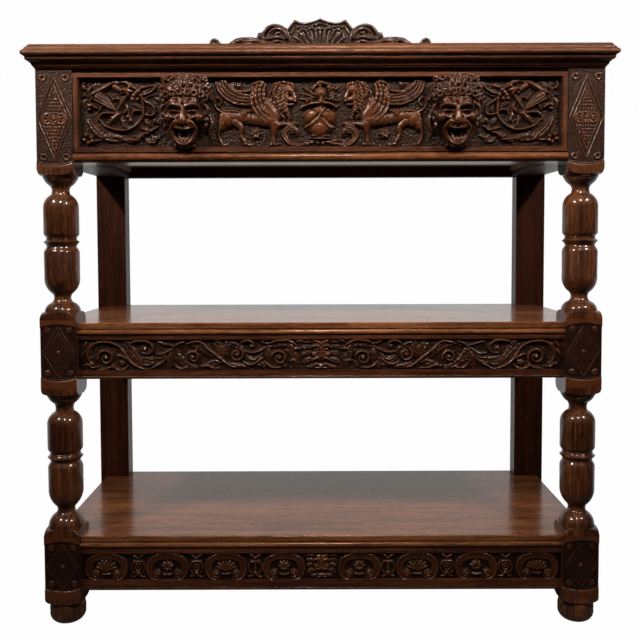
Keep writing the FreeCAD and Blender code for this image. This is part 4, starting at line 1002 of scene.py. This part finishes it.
def carve_middle_apron(carving):
    """A running scroll of acanthus with a little mask in the middle."""
    both = carving.both
    carving.height += 0.25 * np.sin(carving.across * 0.71) * np.sin(carving.up * 0.9)
    masses = (
        ((-466, 26, -470, 8, -466, -12, -462, -28), 7, 3, 4),
        ((-448, -22, -456, -2, -451, 16, -434, 25), 8, 4.2, 5),
        ((-355, -25, -367, -8, -376, 8, -383, 27), 13, 4.6, 6),
        ((-388, 8, -372, -10, -352, -18, -334, -14), 11, 4.2, 6),
        ((-352, -8, -338, -12, -322, -14, -308, -6), 10, 4.2, 5),
        ((-292, 12, -295, -6, -300, -30), 9, 4.6, 4),
        ((-284, 8, -277, -10, -262, -22, -246, -27), 9, 4.6, 5),
        ((-262, 20, -244, 18, -228, 8, -216, -4), 10, 4.2, 6),
        ((-236, -24, -222, -21, -206, -20), 6, 4.6, 4), ((-193, -14, -198, 4, -204, 26), 11, 4.6, 5),
        ((-192, -12, -186, 6, -182, 26), 9, 4.4, 4), ((-176, 22, -158, 10, -148, -6), 8, 3.6, 4),
        ((-186, -20, -166, -22, -144, -25), 7, 4.8, 5), ((-150, -4, -134, -14, -118, -10), 10, 4, 5),
        ((-103, 12, -104, -4, -100, -16), 8, 4.6, 4), ((-104, 16, -84, 20, -66, 20, -52, 8), 9, 4.2, 6),
        ((-118, -14, -114, -22, -108, -29), 6, 4, 3), ((-68, 8, -56, 0, -50, -16, -48, -28), 9, 4.6, 5))
    for points, width, height, lobes in masses:
        both("leaf", points, width, height, lobes, (0.4, 1, 1, 0.5))
    ribs = (
        ((-352, -26), (-389, 20, -383, 26, -376, 24, -368, 14, -362, 4, -372, 4)),
        ((-196, -10), (-210, 22, -204, 27, -198, 24, -192, 18, -186, 27, -180, 20)),
        ((-289, 12), (-302, -27, -296, -29, -290, -24, -284, -14)),
        ((-104, 12), (-108, -10, -103, -14, -97, -10, -92, -2)),
        ((-60, 22), (-46, 8, -50, 0, -44, -8, -52, -14)))
    for base, tips in ribs:
        for tip in np.reshape(tips, (-1, 2)):
            bend = (0.5 * (base[0] + tip[0]) + 0.1 * (tip[1] - base[1]), 0.5 * (base[1] + tip[1]))
            both("ridge", [base, bend, tip], 2, 6, (0.5, 1, 0.5), 1)
    fronds = (
        (-321, 26, -307, 22, -293, 18, -288, 15), (-324, 2, -310, 2, -297, 9, -288, 15),
        (-333, -10, -324, -7, -314, -7, -305, -2), (-330, -24, -319, -20, -307, -11, -293, 3),
        (-148, 6, -138, 4, -124, 6, -110, 13, -103, 17), (-143, -7, -134, -11, -126, -7, -117, 1),
        (-154, -13, -143, -19, -131, -18, -120, -9), (-119, 28, -112, 23, -103, 22),
        (-228, -20, -219, -16, -207, -12, -195, -18), (-236, -24, -224, -21, -212, -26, -198, -27),
        (-349, -18, -342, -21, -333, -19), (-171, -18, -160, -22, -147, -24),
        (-466, -22, -456, -19, -449, -25, -435, -24), (-439, -29, -423, -28, -411, -23, -406, -18),
        (-472, 10, -464, 18, -458, 28), (-474, -4, -466, 2, -462, 10), (-62, -13, -54, -11, -47, -14),
        (-48, 24, -42, 27, -34, 27), (-54, 10, -46, 12, -40, 10), (-178, 24, -168, 22, -160, 16))
    for number, points in enumerate(fronds):
        both("ridge", points, 3.4, 7 - 0.5 * (number % 3), (0.45, 1, 0.9, 0.4), 1)
    stems = (
        (-446, -21, -453, -14, -458, -1, -454, 13, -446, 21, -432, 26, -416, 25, -402, 21, -390, 11,
         -381, -3, -369, -18, -350, -27, -336, -28, -324, -21, -316, -17),
        (-411, -18, -406, -24, -395, -29, -385, -27, -379, -21), (-401, -1, -393, -1, -383, -7, -377, -13),
        (-376, 15, -369, 25, -355, 27.5, -341, 26.5, -331, 18, -331, 8, -340, 2, -348, 5),
        (-288, 15, -279, 22, -268, 26),
        (-265, 20, -255, 24, -241, 26, -230, 21, -220, 11, -209, 2, -198, -7, -188, -15, -177, -23,
         -168, -26), (-288, -18, -281, -25, -270, -27, -262, -23),
        (-159, 20, -152, 26, -141, 27.5, -133, 22, -133, 15),
        (-103, 20, -92, 26, -79, 28, -65, 28, -53, 22, -46, 13), (-110, -14, -103, -21, -92, -26, -80, -25))
    for points in stems:
        both("stroke", points, 2.5, 7, (0.5, 1, 1, 1, 1, 0.8, 0.5))
    carving.pairs((
        ("volute", (422, -6), 17, 0.52, -1.35, 2.5, 6.8, 0.25),
        ("volute", (346, 11), 8, 0.75, -0.8, 2, 6.4, 0.5),
        ("volute", (251, -5), 13.5, 0.55, -1.3, 2.5, 6.8, 0.3),
        ("volute", (166, 0), 13.5, 0.15, -1.35, 2.5, 6.8, 0.3),
        ("volute", (82, -7), 15.5, 0.45, -1.35, 2.5, 6.8, 0.25), ("boss", (137, 16.5), 4.2, 6.6),
        ("rosette", (390, -16), 7.5, 6.4, 5), ("boss", (122, -21), 3.4, 6), ("boss", (71, -22), 3, 6.4),
        ("boss", (246, 7), 3.6, 6.4)))
    carve_small_mask(carving, 1.0)


def carve_scroll(carving, x, flower):
    """A broad strapwork scroll, open at its foot, round a rosette or a palmette."""
    left = np.reshape((-17, -22.5, -27, -21, -33.5, -11, -34.5, 2, -28, 13, -15, 18.5), (-1, 2))
    offsets = [*left, (0, 19.5), *reversed(mirrored(left))]
    carving.strap([(x + across, up) for across, up in offsets], 7.4, 4.9, (0.7, 0.9, 1, 1, 1, 1, 1, 0.9, 0.7))
    rim = []
    for across, up in offsets:
        length = math.hypot(across, up + 4)
        rim.append((x + across + 6.2 * across / length, min(26, up + 6.2 * (up + 4) / length)))
    carving.stroke(rim, 1.1, 5.9)
    for turn in (-1, 1):
        eye = (x + turn * 19.5, -14)
        carving.drill(eye, 9.6, 2.4)
        carving.boss(eye, 8.2, 3.4)
        carving.stroke(spiral(eye, 7.6, 0.75, turn * 1.25, 0.3), 1.5, 6)
        carving.boss(eye, 2.4, 5.6, 2)
    if flower:
        carving.rosette((x, 0), 13, 5.2, 8)
        carving.ring((x, 0), 5.4, 1.4, 5.6)
        carving.drill((x, 0), 3.8, 3.4)
        carving.boss((x, 0), 1.9, 5.6)
        carving.stroke((x - 8, -16, x, -17.5, x + 8, -16), 2.2, 4.2)
    else:
        for angle, reach in ((90, 15), (62, 17), (118, 17), (35, 19), (145, 19), (8, 18), (172, 18)):
            across = x + reach * math.cos(math.radians(angle))
            up = -5 + reach * math.sin(math.radians(angle)) * 0.95
            carving.stroke((x, -7, across, up), 4.2, 4.6, (0.5, 1.05, 0.55), 1.2)
        carving.boss((x, -8), 4.4, 4.6)
        carving.stroke((x - 7, -15, x, -16, x + 7, -15), 2.2, 4.6)


def carve_drop(carving, x, ringed):
    """A little urn of leaves between two scrolls."""
    for turn in (-1, 1):
        for line, width, height, swell in (
                ((13, 25, 6, 21, 0, 16), 2.2, 5.2, (0.5, 1.1, 0.8)),
                ((5, 9, 12, 3, 12.5, -7, 7, -15), 1.6, 4.4, (1, 1)),
                ((2, -16, 7, -21, 13, -22), 1.9, 4.2, (1, 1, 0.4))):
            carving.stroke(np.reshape(line, (-1, 2)) * (turn, 1) + (x, 0), width, height, swell)
    carving.stroke((x - 9, 9, x, 10, x + 9, 9), 2.3, 5.6, (0.7, 1, 0.7))
    if ringed:
        carving.ring((x, -2), 6.4, 1.5, 4.6)
        carving.boss((x, -2), 2.8, 5.2)
    else:
        carving.stroke((x, 7, x, -6), 3.2, 5.2, (1, 0.6, 1))
    carving.boss((x, -14), 4.4, 5)


def carve_bottom_apron(carving):
    """Strapwork scrolls in a row, with flowers between them and a mask in the middle."""
    carving.height += 0.25 * np.sin(carving.across * 0.71) * np.sin(carving.up * 0.9)
    for number, across in enumerate((75, 190, 307, 428)):
        for turn in (-1, 1):
            carve_scroll(carving, turn * across, number % 2 == 0)
    for number, across in enumerate((132, 249, 365)):
        for turn in (-1, 1):
            carve_drop(carving, turn * across, number > 0)
    carve_small_mask(carving, 0.82)


# Places of the flat carving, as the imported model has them, in millimetres
panel_joins = (-464.5, -232.5, 0.0, 232.5, 464.5)
panel_half_height = 65.5
panel_middle_z = 1006.5
panel_ground_y = -200.8
panel_back_y = -200.1
panel_relief = 9.0
apron_half_width = 476.0
apron_ground_y = -197.3
apron_back_y = -196.0
apron_relief = 6.8
for number in range(4):
    tile = carved_tile("drawer_carving_%d" % (number + 1), panel_joins[number:number + 2],
                       (-panel_half_height, panel_half_height), panel_middle_z, carving_step, panel_ground_y,
                       panel_back_y, panel_relief, carve_panel, carved_finish, "drawer")
    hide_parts("drawer_panel")
for name, low_edge, high_edge, carve, finish, roughness in (
        ("middle", 506.5, 567.5, carve_middle_apron, carved_finish, 1.0),
        ("bottom", 87.5, 141.5, carve_bottom_apron, apron_finish, 0.35)):
    half = (high_edge - low_edge) / 2
    for side, ends in (("left", (-apron_half_width, 0.0)), ("right", (0.0, apron_half_width))):
        carved_tile("apron_carving_" + name + "_" + side, ends, (-half, half), low_edge + half, carving_step,
                    apron_ground_y, apron_back_y, apron_relief, carve, finish, "carcase", 0.0,
                    roughness)


# Carving in the round, in millimetres: across, up, and forward from the piece's back
def round_ball(fineness):
    """The corners and faces of a ball of radius one."""
    shape = bmesh.new()
    bmesh.ops.create_icosphere(shape, subdivisions=fineness, radius=1.0)
    corners = [vert.co.copy() for vert in shape.verts]
    faces = [[vert.index for vert in face.verts] for face in shape.faces]
    shape.free()
    return corners, faces


round_balls = {fineness: round_ball(fineness) for fineness in (2, 3)}


def on_side(line, turn):
    """A line of across, up, forward and so on, mirrored to the other side where turn is -1."""
    return np.reshape(line, (-1, 3)) * (turn, 1, 1)


class Clay:
    """Balls and rolls pressed together and skinned as one carved piece."""

    def __init__(self):
        self.shape = bmesh.new()

    def ball(self, across, up, forward, radii, fineness=3):
        """An egg of the given half sizes across, up and forward."""
        corners, faces = round_balls[fineness]
        place = Matrix.Translation((across, -forward, up))
        place = place @ Matrix.Diagonal((radii[0], radii[2], radii[1], 1))
        verts = [self.shape.verts.new(place @ corner) for corner in corners]
        for face in faces:
            self.shape.faces.new([verts[number] for number in face])

    def roll(self, line, radius, end_radius=None):
        """A round stem along a line of across, up, forward and so on, which tapers to its end."""
        points = smooth_line(line, 6, 3)
        lengths = np.linalg.norm(np.diff(points, axis=0), axis=1)
        marks = np.concatenate([[0], np.cumsum(lengths)])
        end_radius = radius if end_radius is None else end_radius
        mark = 0.0
        while mark <= marks[-1]:
            size = radius + (end_radius - radius) * mark / marks[-1]
            place = [np.interp(mark, marks, points[:, axis]) for axis in range(3)]
            self.ball(*place, (size, size, size), 2)
            mark += 0.42 * size
        self.ball(*points[-1], (end_radius, end_radius, end_radius), 2)

    def pair(self, line, radius, end_radius=None):
        self.roll(line, radius, end_radius)
        self.roll(on_side(line, -1), radius, end_radius)

    def balls(self, across, up, forward, radii):
        self.ball(across, up, forward, radii)
        self.ball(-across, up, forward, radii)

    def curl(self, across, up, forward, radius, thickness, hand=1, rise=3.0):
        """A lock of hair wound round on itself, higher in its middle."""
        points = []
        for number in range(11):
            share = number / 10
            angle = hand * 2 * math.pi * (0.62 + 1.25 * share)
            reach = radius * (1 - 0.72 * share)
            height = forward + rise * share
            points.append((across + reach * math.cos(angle), up + reach * math.sin(angle), height))
        self.roll(points, thickness, thickness * 0.8)

    def slab(self, outline, depth):
        """A flat board of the outline's shape, from its back to the given depth."""
        verts = [self.shape.verts.new((across, 0, up)) for across, up in outline]
        face = self.shape.faces.new(verts)
        front = bmesh.ops.extrude_face_region(self.shape, geom=[face])["geom"]
        moved = [part for part in front if isinstance(part, bmesh.types.BMVert)]
        bmesh.ops.translate(self.shape, vec=(0, -depth, 0), verts=moved)
        bmesh.ops.recalc_face_normals(self.shape, faces=self.shape.faces)

    def skin(self, step, smoothings):
        """One closed skin over everything, eased by the given number of smoothings."""
        mesh = bpy.data.meshes.new("clay")
        self.shape.to_mesh(mesh)
        self.shape.free()
        lump = bpy.data.objects.new("clay", mesh)
        bpy.context.scene.collection.objects.link(lump)
        wrap = lump.modifiers.new("skin", "REMESH")
        wrap.mode = "VOXEL"
        wrap.voxel_size = step
        skin = bpy.data.meshes.new_from_object(lump.evaluated_get(bpy.context.evaluated_depsgraph_get()))
        bpy.data.objects.remove(lump)
        bpy.data.meshes.remove(mesh)
        shape = bmesh.new()
        shape.from_mesh(skin)
        bpy.data.meshes.remove(skin)
        for number in range(smoothings):
            bmesh.ops.smooth_vert(shape, verts=shape.verts, factor=0.5, use_axis_x=True, use_axis_y=True,
                                  use_axis_z=True)
        return shape


def settle(shape, place, relief, ground):
    """Marks the hollows and heights of a skinned piece, and moves it to its place in metres."""
    shape.normal_update()
    shape.verts.ensure_lookup_table()
    coords = np.array([vert.co for vert in shape.verts])
    normals = np.array([vert.normal for vert in shape.verts])
    pairs = np.array([[end.index for end in edge.verts] for edge in shape.edges])
    count = np.bincount(pairs.ravel(), minlength=len(coords)).clip(1)

    def averaged(values):
        total = np.zeros_like(values)
        np.add.at(total, pairs[:, 0], values[pairs[:, 1]])
        np.add.at(total, pairs[:, 1], values[pairs[:, 0]])
        return total / count.reshape((-1,) + (1,) * (values.ndim - 1))

    around = coords
    for number in range(6):
        around = 0.5 * around + 0.5 * averaged(around)
    sunk = ((around - coords) * normals).sum(1)
    for number in range(2):
        sunk = 0.5 * sunk + 0.5 * averaged(sunk)
    # The hollow and height marks drive the finish's painted shade in the hollows and painted highlight on
    # raised edges.
    hollow = np.clip(0.5 + 0.9 * sunk, 0, 1)
    height = np.clip((-coords[:, 1] - ground) / relief, 0, 1)
    hollow_layer = shape.verts.layers.float.new("hollow")
    height_layer = shape.verts.layers.float.new("height")
    for number, vert in enumerate(shape.verts):
        vert[hollow_layer] = hollow[number]
        vert[height_layer] = height[number]
        vert.co = (Vector((vert.co.x, min(0.0, vert.co.y), vert.co.z)) + Vector(place)) * MM
    for face in shape.faces:
        face.smooth = True
    return shape


def carve_mask():
    """A grotesque mask: ringlets over a furrowed brow, a broad lined nose and a wide open grin."""
    clay = Clay()
    clay.ball(0, -2, 9, (35, 46, 24))
    clay.ball(0, 32, 5, (45, 34, 20))
    clay.ball(0, -44, 12, (22, 26, 18))
    for across, up, radii in ((-18, 15, (12, 10, 11)), (0, 17, (9, 9, 10)), (17, 15, (12, 10, 11))):
        clay.ball(across, up, 23, radii)
    clay.pair((4, 5.5, 35.5, 12, 8.5, 36.5, 22, 9.5, 33.5, 30, 6, 27), 4, 3)
    clay.pair((2.6, 4, 37, 4.4, 12, 34.5, 3.6, 19, 33), 2.2, 1.6)
    clay.pair((10, 20, 34, 17, 22, 32.5, 25, 19, 29), 1.8, 1.4)
    clay.roll((0, 4, 33, 0, -8, 38, 0, -19, 40.5), 4.2, 7.2)
    clay.ball(0, -22, 40.5, (8.2, 7.5, 7.2))
    clay.balls(9.4, -24, 35, (5.8, 5.4, 6.4))
    for across in (-7.5, -2.6, 2.6, 7.5):
        lower = 0.5 * abs(across)
        clay.roll((across * 0.5, -4, 40 - 0.35 * abs(across), across * 0.8, -16, 45.4 - lower,
                   across, -28, 45.2 - lower), 1.5, 1.7)
    clay.balls(18, -1, 26, (8, 5.6, 6.4))
    clay.pair((10, -4, 32.4, 18, -1.6, 34.2, 27, -4.5, 29.5), 1.9, 1.6)
    clay.pair((9, -12, 34, 16, -15.5, 34, 24, -12, 31.5, 32, -7, 25), 2.7, 2)
    clay.balls(27, -14, 21, (12.5, 11, 12))
    clay.pair((11, -20, 36, 19, -27, 34.5, 25, -37, 28, 23, -50, 23, 16, -61, 22), 3.4, 2.8)
    clay.pair((3, -31.5, 36, 13, -30.5, 35, 22, -27, 31), 2.8, 1.8)
    clay.roll((-23, -32, 29, -12, -36.5, 34, 0, -38, 35.5, 12, -36.5, 34, 23, -32, 29), 3.3)
    clay.roll((-22, -37, 27.5, -19, -51, 26.5, -10, -62, 27, 0, -65, 27.5,
               10, -62, 27, 19, -51, 26.5, 22, -37, 27.5), 2.9)
    clay.ball(0, -68, 14, (13, 4.6, 10))
    clay.balls(17, -66, 11, (5, 4.4, 7))
    clay.pair((35, 14, 14, 43, 8, 16, 44.5, -3, 16, 38.5, -8, 16, 37.5, -1, 17), 3.2, 2.4)
    for across, up, hand in ((41, -16, 1), (38, -28, -1)):
        clay.curl(across, up, 10, 5.2, 2.4, hand)
        clay.curl(-across, up, 10, 5.2, 2.4, -hand)

    def ringlet(across, up, reach, thickness, lift):
        slope = 1 - (across / 49) ** 2 - ((up - 31) / 41) ** 2
        forward = 4 + 22 * math.sqrt(max(0.03, slope)) + lift
        turn = 0.7 + across * 0.09 + up * 0.05
        points = []
        for number in range(9):
            angle = turn + 1.72 * math.pi * number / 8
            height = forward + 1.6 * math.cos(0.5 * angle)
            points.append((across + reach * math.cos(angle), up + reach * math.sin(angle), height))
        clay.roll(points, thickness, thickness * 0.75)

    for across in (-33, -20.5, -7, 8, 21.5, 34):
        ringlet(across, 33.5 - 0.004 * across ** 2, 5.2, 2.3, 6.5)
    for across in (-40, -27, -13, 1, 15, 28, 41):
        ringlet(across, 45 - 0.003 * across ** 2, 5.4, 2.3, 4.6)
    for across in (-34, -20, -6, 8, 22, 35):
        ringlet(across, 56.5 - 0.002 * across ** 2, 5.2, 2.2, 4.2)
    for across in (-26, -13, 0, 13, 26):
        ringlet(across, 66 - 0.004 * across ** 2, 4.6, 2.1, 4.4)
    for across, up in ((40, 23), (45, 34), (46, 47), (39, 59)):
        ringlet(across, up, 4.6, 2.2, 5)
        ringlet(-across, up, 4.6, 2.2, 5)
    for across in (-14, -9, -4, 1, 6, 11):
        clay.roll((across, 49, 29, across + 1.5, 56, 27.5, across - 0.5, 63, 22.5), 1.5, 1.2)
    shape = clay.skin(1.15, 1)
    for vert in shape.verts:
        across, up, forward = vert.co.x, vert.co.z, -vert.co.y
        inside = min(-37.2 + 0.011 * across ** 2 - up, up + 62 - 0.065 * across ** 2)
        if inside > 0 and forward > 8 and abs(across) < 24:
            vert.co.y += 16 * min(1, inside / 5) ** 0.6
        for turn in (-1, 1):
            nostril = ((across - turn * 6.4) / 3.2) ** 2 + ((up + 29.5) / 2.8) ** 2
            if nostril < 1 and forward > 25:
                vert.co.y += 5 * (1 - nostril)
            socket = ((across - turn * 16) / 11) ** 2 + ((up - 1.8) / 3.4) ** 2
            if socket < 1 and forward > 18:
                vert.co.y += 5 * (1 - socket)
            pupil = ((across - turn * 18) / 2.2) ** 2 + ((up + 1.4) / 2) ** 2
            if pupil < 1 and forward > 20:
                vert.co.y += 1.8 * (1 - pupil)
        crease = abs(across + 1.2 - 0.04 * (up - 20) ** 2 * 0.1)
        if crease < 1.8 and 8 < up < 25 and forward > 20:
            vert.co.y += 1.4 * (1 - crease / 1.8)
    tongue = Matrix.Translation((0, -18.5, -55)) @ Matrix.Diagonal((8.5, 6.5, 6, 1))
    bmesh.ops.create_icosphere(shape, subdivisions=4, radius=1, matrix=tongue)
    for turn in (-1, 1):
        for number in range(7):
            share = number / 6
            tooth = (turn * (8.6 - 8.6 * share ** 2), -23 - 1.5 * share, -47 - 13.5 * share ** 0.7)
            bmesh.ops.create_icosphere(shape, subdivisions=2, radius=2.3, matrix=Matrix.Translation(tooth))
    return shape


# Places of the masks and the crest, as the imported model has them, in millimetres
mask_across, mask_back_y, mask_middle_z, mask_relief = 260.0, -204.2, 1008.0, 46.0
crest_place, crest_board, crest_relief = (0.0, 253.0, 1230.0), 8.5, 12.0
mask_shape = carve_mask()
for vert in mask_shape.verts:
    if not -66.0 < vert.co.z < 63.0:
        vert.co.y = min(vert.co.y, -8.2)
    vert.co.z = max(-72.6, min(72.6, vert.co.z))
for side, sign in (("left", -1), ("right", 1)):
    own_shape = settle(mask_shape.copy(), (sign * mask_across, mask_back_y, mask_middle_z), mask_relief, 0.0)
    mask = stand("carved_mask_" + side, own_shape, mask_finish, "drawer")
    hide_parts("mask_" + side)
mask_shape.free()


def carve_crest():
    """A pointed fan shell between two rolled leaves, with low leaves and curls at the ends."""
    half = [
        (273, 0), (273, 14), (271, 19.5), (266.5, 24.5), (260, 26.5), (253.5, 24.5), (248.5, 20),
        (244.5, 15), (236, 11), (226, 15), (217, 21.5), (208, 27.5), (190, 30.6), (172, 30), (157.5, 28.5),
        (152.5, 41), (146.5, 41), (142.8, 42.8), (137, 51), (127, 59.4), (113, 63), (97, 60), (87, 54.5),
        (81, 50.5), (63.2, 73), (50, 67), (36, 65.4), (20, 68), (8, 72.2)]
    outline = half + [(0, 77.5)] + [(-across, up) for across, up in reversed(half)]
    clay = Clay()
    clay.slab([(across * 0.995, up * 0.985) for across, up in outline], 9.5)
    for turn in (-1, 1):
        def roll(line, *radii):
            clay.roll(on_side(line, turn), *radii)

        for across, up, foot in ((12, 45, 0.30), (34, 43, 0.42), (52, 40, 0.50), (64, 30, 0.62)):
            roll((across * foot, 3, 12, across * (0.35 + 0.45 * foot), up * 0.36, 14.6,
                  across * (0.72 + 0.12 * foot), up * 0.7, 15.6, across, up, 13.6), 1.5, 2.1)
        for across, up, foot in ((23, 42, 0.36), (43, 39, 0.46), (58, 32, 0.55)):
            roll((across * foot, 4, 11, across * 0.8, up * 0.62, 12, across, up, 11.4), 1.6, 3.4)
        roll((0, 4, 11, 0, 22, 12.5, 0, 40, 12), 1.8, 3.6)
        for near, near_up, far, far_up, rise in (
                (0, 45, 12, 45, 6), (12, 45, 34, 43, 6.5), (34, 43, 53, 40, 6.5)):
            middle = ((near + far) / 2, (near_up + far_up) / 2 + rise, 15.2)
            roll((near, near_up, 13.8, *middle, far, far_up, 13.8), 2.2)
        for across, up in ((3, 61), (14, 58.5), (22, 54), (33, 53), (43, 53.5), (52, 52)):
            roll((across - 4, up - 1.5, 12.5, across, up + 1.6, 13.6, across + 4, up - 1, 12.5), 1.7)
        roll((0, 71.5, 11, 18, 65, 11.6, 36, 61, 11.6, 50, 62.5, 11.6, 62, 67.5, 11.6), 2.4)
        roll((62, 66, 12, 70, 57, 12.5, 77, 48, 12.5), 3)
        roll((62, 53, 12.5, 66, 44, 13.5, 72, 36, 13), 2.2, 1.6)
        clay.ball(turn * 108, 26, 7, (34, 31, 8))
        roll((73, 6, 13, 73.5, 18, 15, 77, 32, 16, 83, 44, 16, 96, 53, 17, 112, 56, 17.5, 127, 51, 17.5,
              138, 39, 16.5, 141, 26, 15, 137, 14, 13.5, 128, 6, 12.5), 3.4, 4.4)
        roll((83, 26, 15, 86, 37, 17, 95, 45, 18.5, 108, 47.5, 19, 119, 44, 19, 123, 38, 18), 3.6, 2.6)
        roll((140, 24, 15, 122, 25, 17, 104, 27.5, 18.5, 91, 24, 17), 4.6, 2.8)
        roll((98, 38, 17, 106, 36, 19, 113, 30, 18), 2.6, 2)
        roll((132, 15, 15, 121, 14, 17.5, 110, 17, 18.5, 99, 18, 18, 90, 13, 15), 3, 2.2)
        roll((124, 5, 14, 110, 7, 16.5, 96, 6, 15), 3.6, 2.6)
        roll((143, 28, 12, 149, 33, 13.5, 150.5, 38, 13), 4.2, 2.4)
        roll((144, 14, 13, 160, 21, 15.5, 180, 22.5, 17, 200, 19, 15.5, 220, 10, 13), 6.6, 3.6)
        roll((148, 5, 14, 168, 10, 17.5, 190, 10, 17.5, 212, 5, 14), 5, 2.6)
        roll((158, 17, 19.5, 174, 17.5, 21, 190, 16, 20.5), 1.8, 1.3)
        roll((226, 7, 12, 238, 5, 13, 250, 4, 13), 4, 3.4)
        ring = []
        for number in range(12):
            angle = 0.25 * math.pi + 1.9 * math.pi * number / 11
            ring.append((259 + 9.6 * math.cos(angle), 12.5 + 9.6 * math.sin(angle), 14.5))
        roll(ring, 3.8)
        clay.ball(turn * 259.2, 12, 14, (4.6, 4.6, 5))
    shape = clay.skin(1.4, 1)
    edge = list(reversed(half))
    for vert in shape.verts:
        across = abs(vert.co.x)
        limit = np.interp(across, [place for place, up in edge] + [275], [up for place, up in edge] + [0])
        if across < 8:
            limit = 75.6 - 3.4 * across / 8
        for place, up, reach in ((113, 36.5, 6.5), (57, 13, 6), (263, 12, 2)):
            hole = ((across - place) / reach) ** 2 + ((vert.co.z - up) / (0.6 * reach)) ** 2
            if hole < 1 and vert.co.y < -8:
                vert.co.y += 3.6 * (1 - hole)
        vert.co.z = max(0, min(vert.co.z, limit + 0.3, 74.9))
        vert.co.x = max(-272.8, min(272.8, vert.co.x))
    return shape


crest_shape = settle(carve_crest(), crest_place, crest_relief, crest_board)
crest = stand("carved_crest", crest_shape, crest_finish, "carcase")
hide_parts("crest")


# Floor, light and camera
def floor_finish():
    finish = Finish("floor")
    path = finish.add("ShaderNodeLightPath", {}, {}, "Is Camera Ray")
    gloss = finish.add("ShaderNodeLightPath", {}, {}, "Is Glossy Ray")
    # The floor and backdrop behind the piece also glow for diffuse and glossy rays: painted light standing in
    # for bright bounce and reflections from behind.
    behind = finish.add("ShaderNodeSeparateXYZ", {}, {"Vector": finish.place()}, "Y").spread(-0.1, 0.6)
    seen = finish.sum("MAXIMUM", path, behind * (0.34 + 0.36 * gloss))
    glow = finish.add("ShaderNodeEmission", {}, {"Color": (1, 1, 1), "Strength": 1.0})
    plain = finish.add("ShaderNodeBsdfDiffuse", {}, {"Color": (0.16, 0.16, 0.16)})
    mixed = finish.add("ShaderNodeMixShader", {}, {0: seen * 0.99, 1: plain, 2: glow})
    finish.tree.links.new(mixed.socket, finish.tree.nodes["Material Output"].inputs["Surface"])
    return finish.material


def sheet(name, size, place, material):
    """A flat square for the floor or the backdrop, placed in its own mesh."""
    shape = bmesh.new()
    bmesh.ops.create_grid(shape, x_segments=2, y_segments=2, size=size, matrix=place)
    mesh = bpy.data.meshes.new(name)
    shape.to_mesh(mesh)
    shape.free()
    mesh.materials.append(material)
    holder = bpy.data.objects.new(name, mesh)
    bpy.context.scene.collection.objects.link(holder)
    return holder


grey_sheet = floor_finish()
floor = sheet("floor", 14, Matrix(), grey_sheet)
behind = Matrix.Translation((0, 4, 0)) @ Matrix.Rotation(math.pi / 2, 4, "X")
backdrop = sheet("backdrop", 8, behind, grey_sheet)

world = bpy.data.worlds.new("studio")
world.use_nodes = True
bpy.context.scene.world = world
world_nodes = world.node_tree.nodes
world_links = world.node_tree.links
room = world_nodes["Background"]
room.inputs["Color"].default_value = (1.0, 0.98, 0.96, 1)
room.inputs["Strength"].default_value = 0.05
sky = world_nodes.new("ShaderNodeBackground")
sky.inputs["Color"].default_value = (1, 1, 1, 1)
sky.inputs["Strength"].default_value = 1.0
seen = world_nodes.new("ShaderNodeLightPath")
either = world_nodes.new("ShaderNodeMixShader")
world_links.new(seen.outputs["Is Camera Ray"], either.inputs[0])
world_links.new(room.outputs[0], either.inputs[1])
world_links.new(sky.outputs[0], either.inputs[2])
world_links.new(either.outputs[0], world_nodes["World Output"].inputs["Surface"])


def lamp(name, place, aim, size, watts, spread, colour=(1, 0.97, 0.93)):
    light = bpy.data.lights.new(name, "AREA")
    light.shape = "SQUARE"
    light.size = size
    light.spread = math.radians(spread)
    light.energy = watts
    light.color = colour
    holder = bpy.data.objects.new(name, light)
    holder.location = place
    holder.rotation_euler = (Vector(aim) - Vector(place)).to_track_quat("-Z", "Y").to_euler()
    bpy.context.scene.collection.objects.link(holder)


lamp("left_lamp", (-1.7, -1.5, 2.5), (-0.1, 0, 1.12), 0.30, 11.0, 58)
lamp("middle_lamp", (0.0, -2.2, 2.9), (0, 0, 1.25), 0.34, 8.5, 48)
lamp("right_lamp", (1.6, -1.5, 2.5), (0.1, 0, 1.12), 0.30, 8.6, 58)

camera_data = bpy.data.cameras.new("camera")
camera_data.sensor_width = 36
camera_data.lens = 46.42
camera_data.shift_x = -0.00115
camera_data.shift_y = -0.06047
camera_data.clip_end = 60
camera = bpy.data.objects.new("camera", camera_data)
camera.location = (0, -1.80997, 0.75939)
camera.rotation_euler = (math.pi / 2 - 0.049, 0.003, 0)
bpy.context.scene.collection.objects.link(camera)
bpy.context.scene.camera = camera
bpy.context.scene.view_settings.view_transform = "Standard"
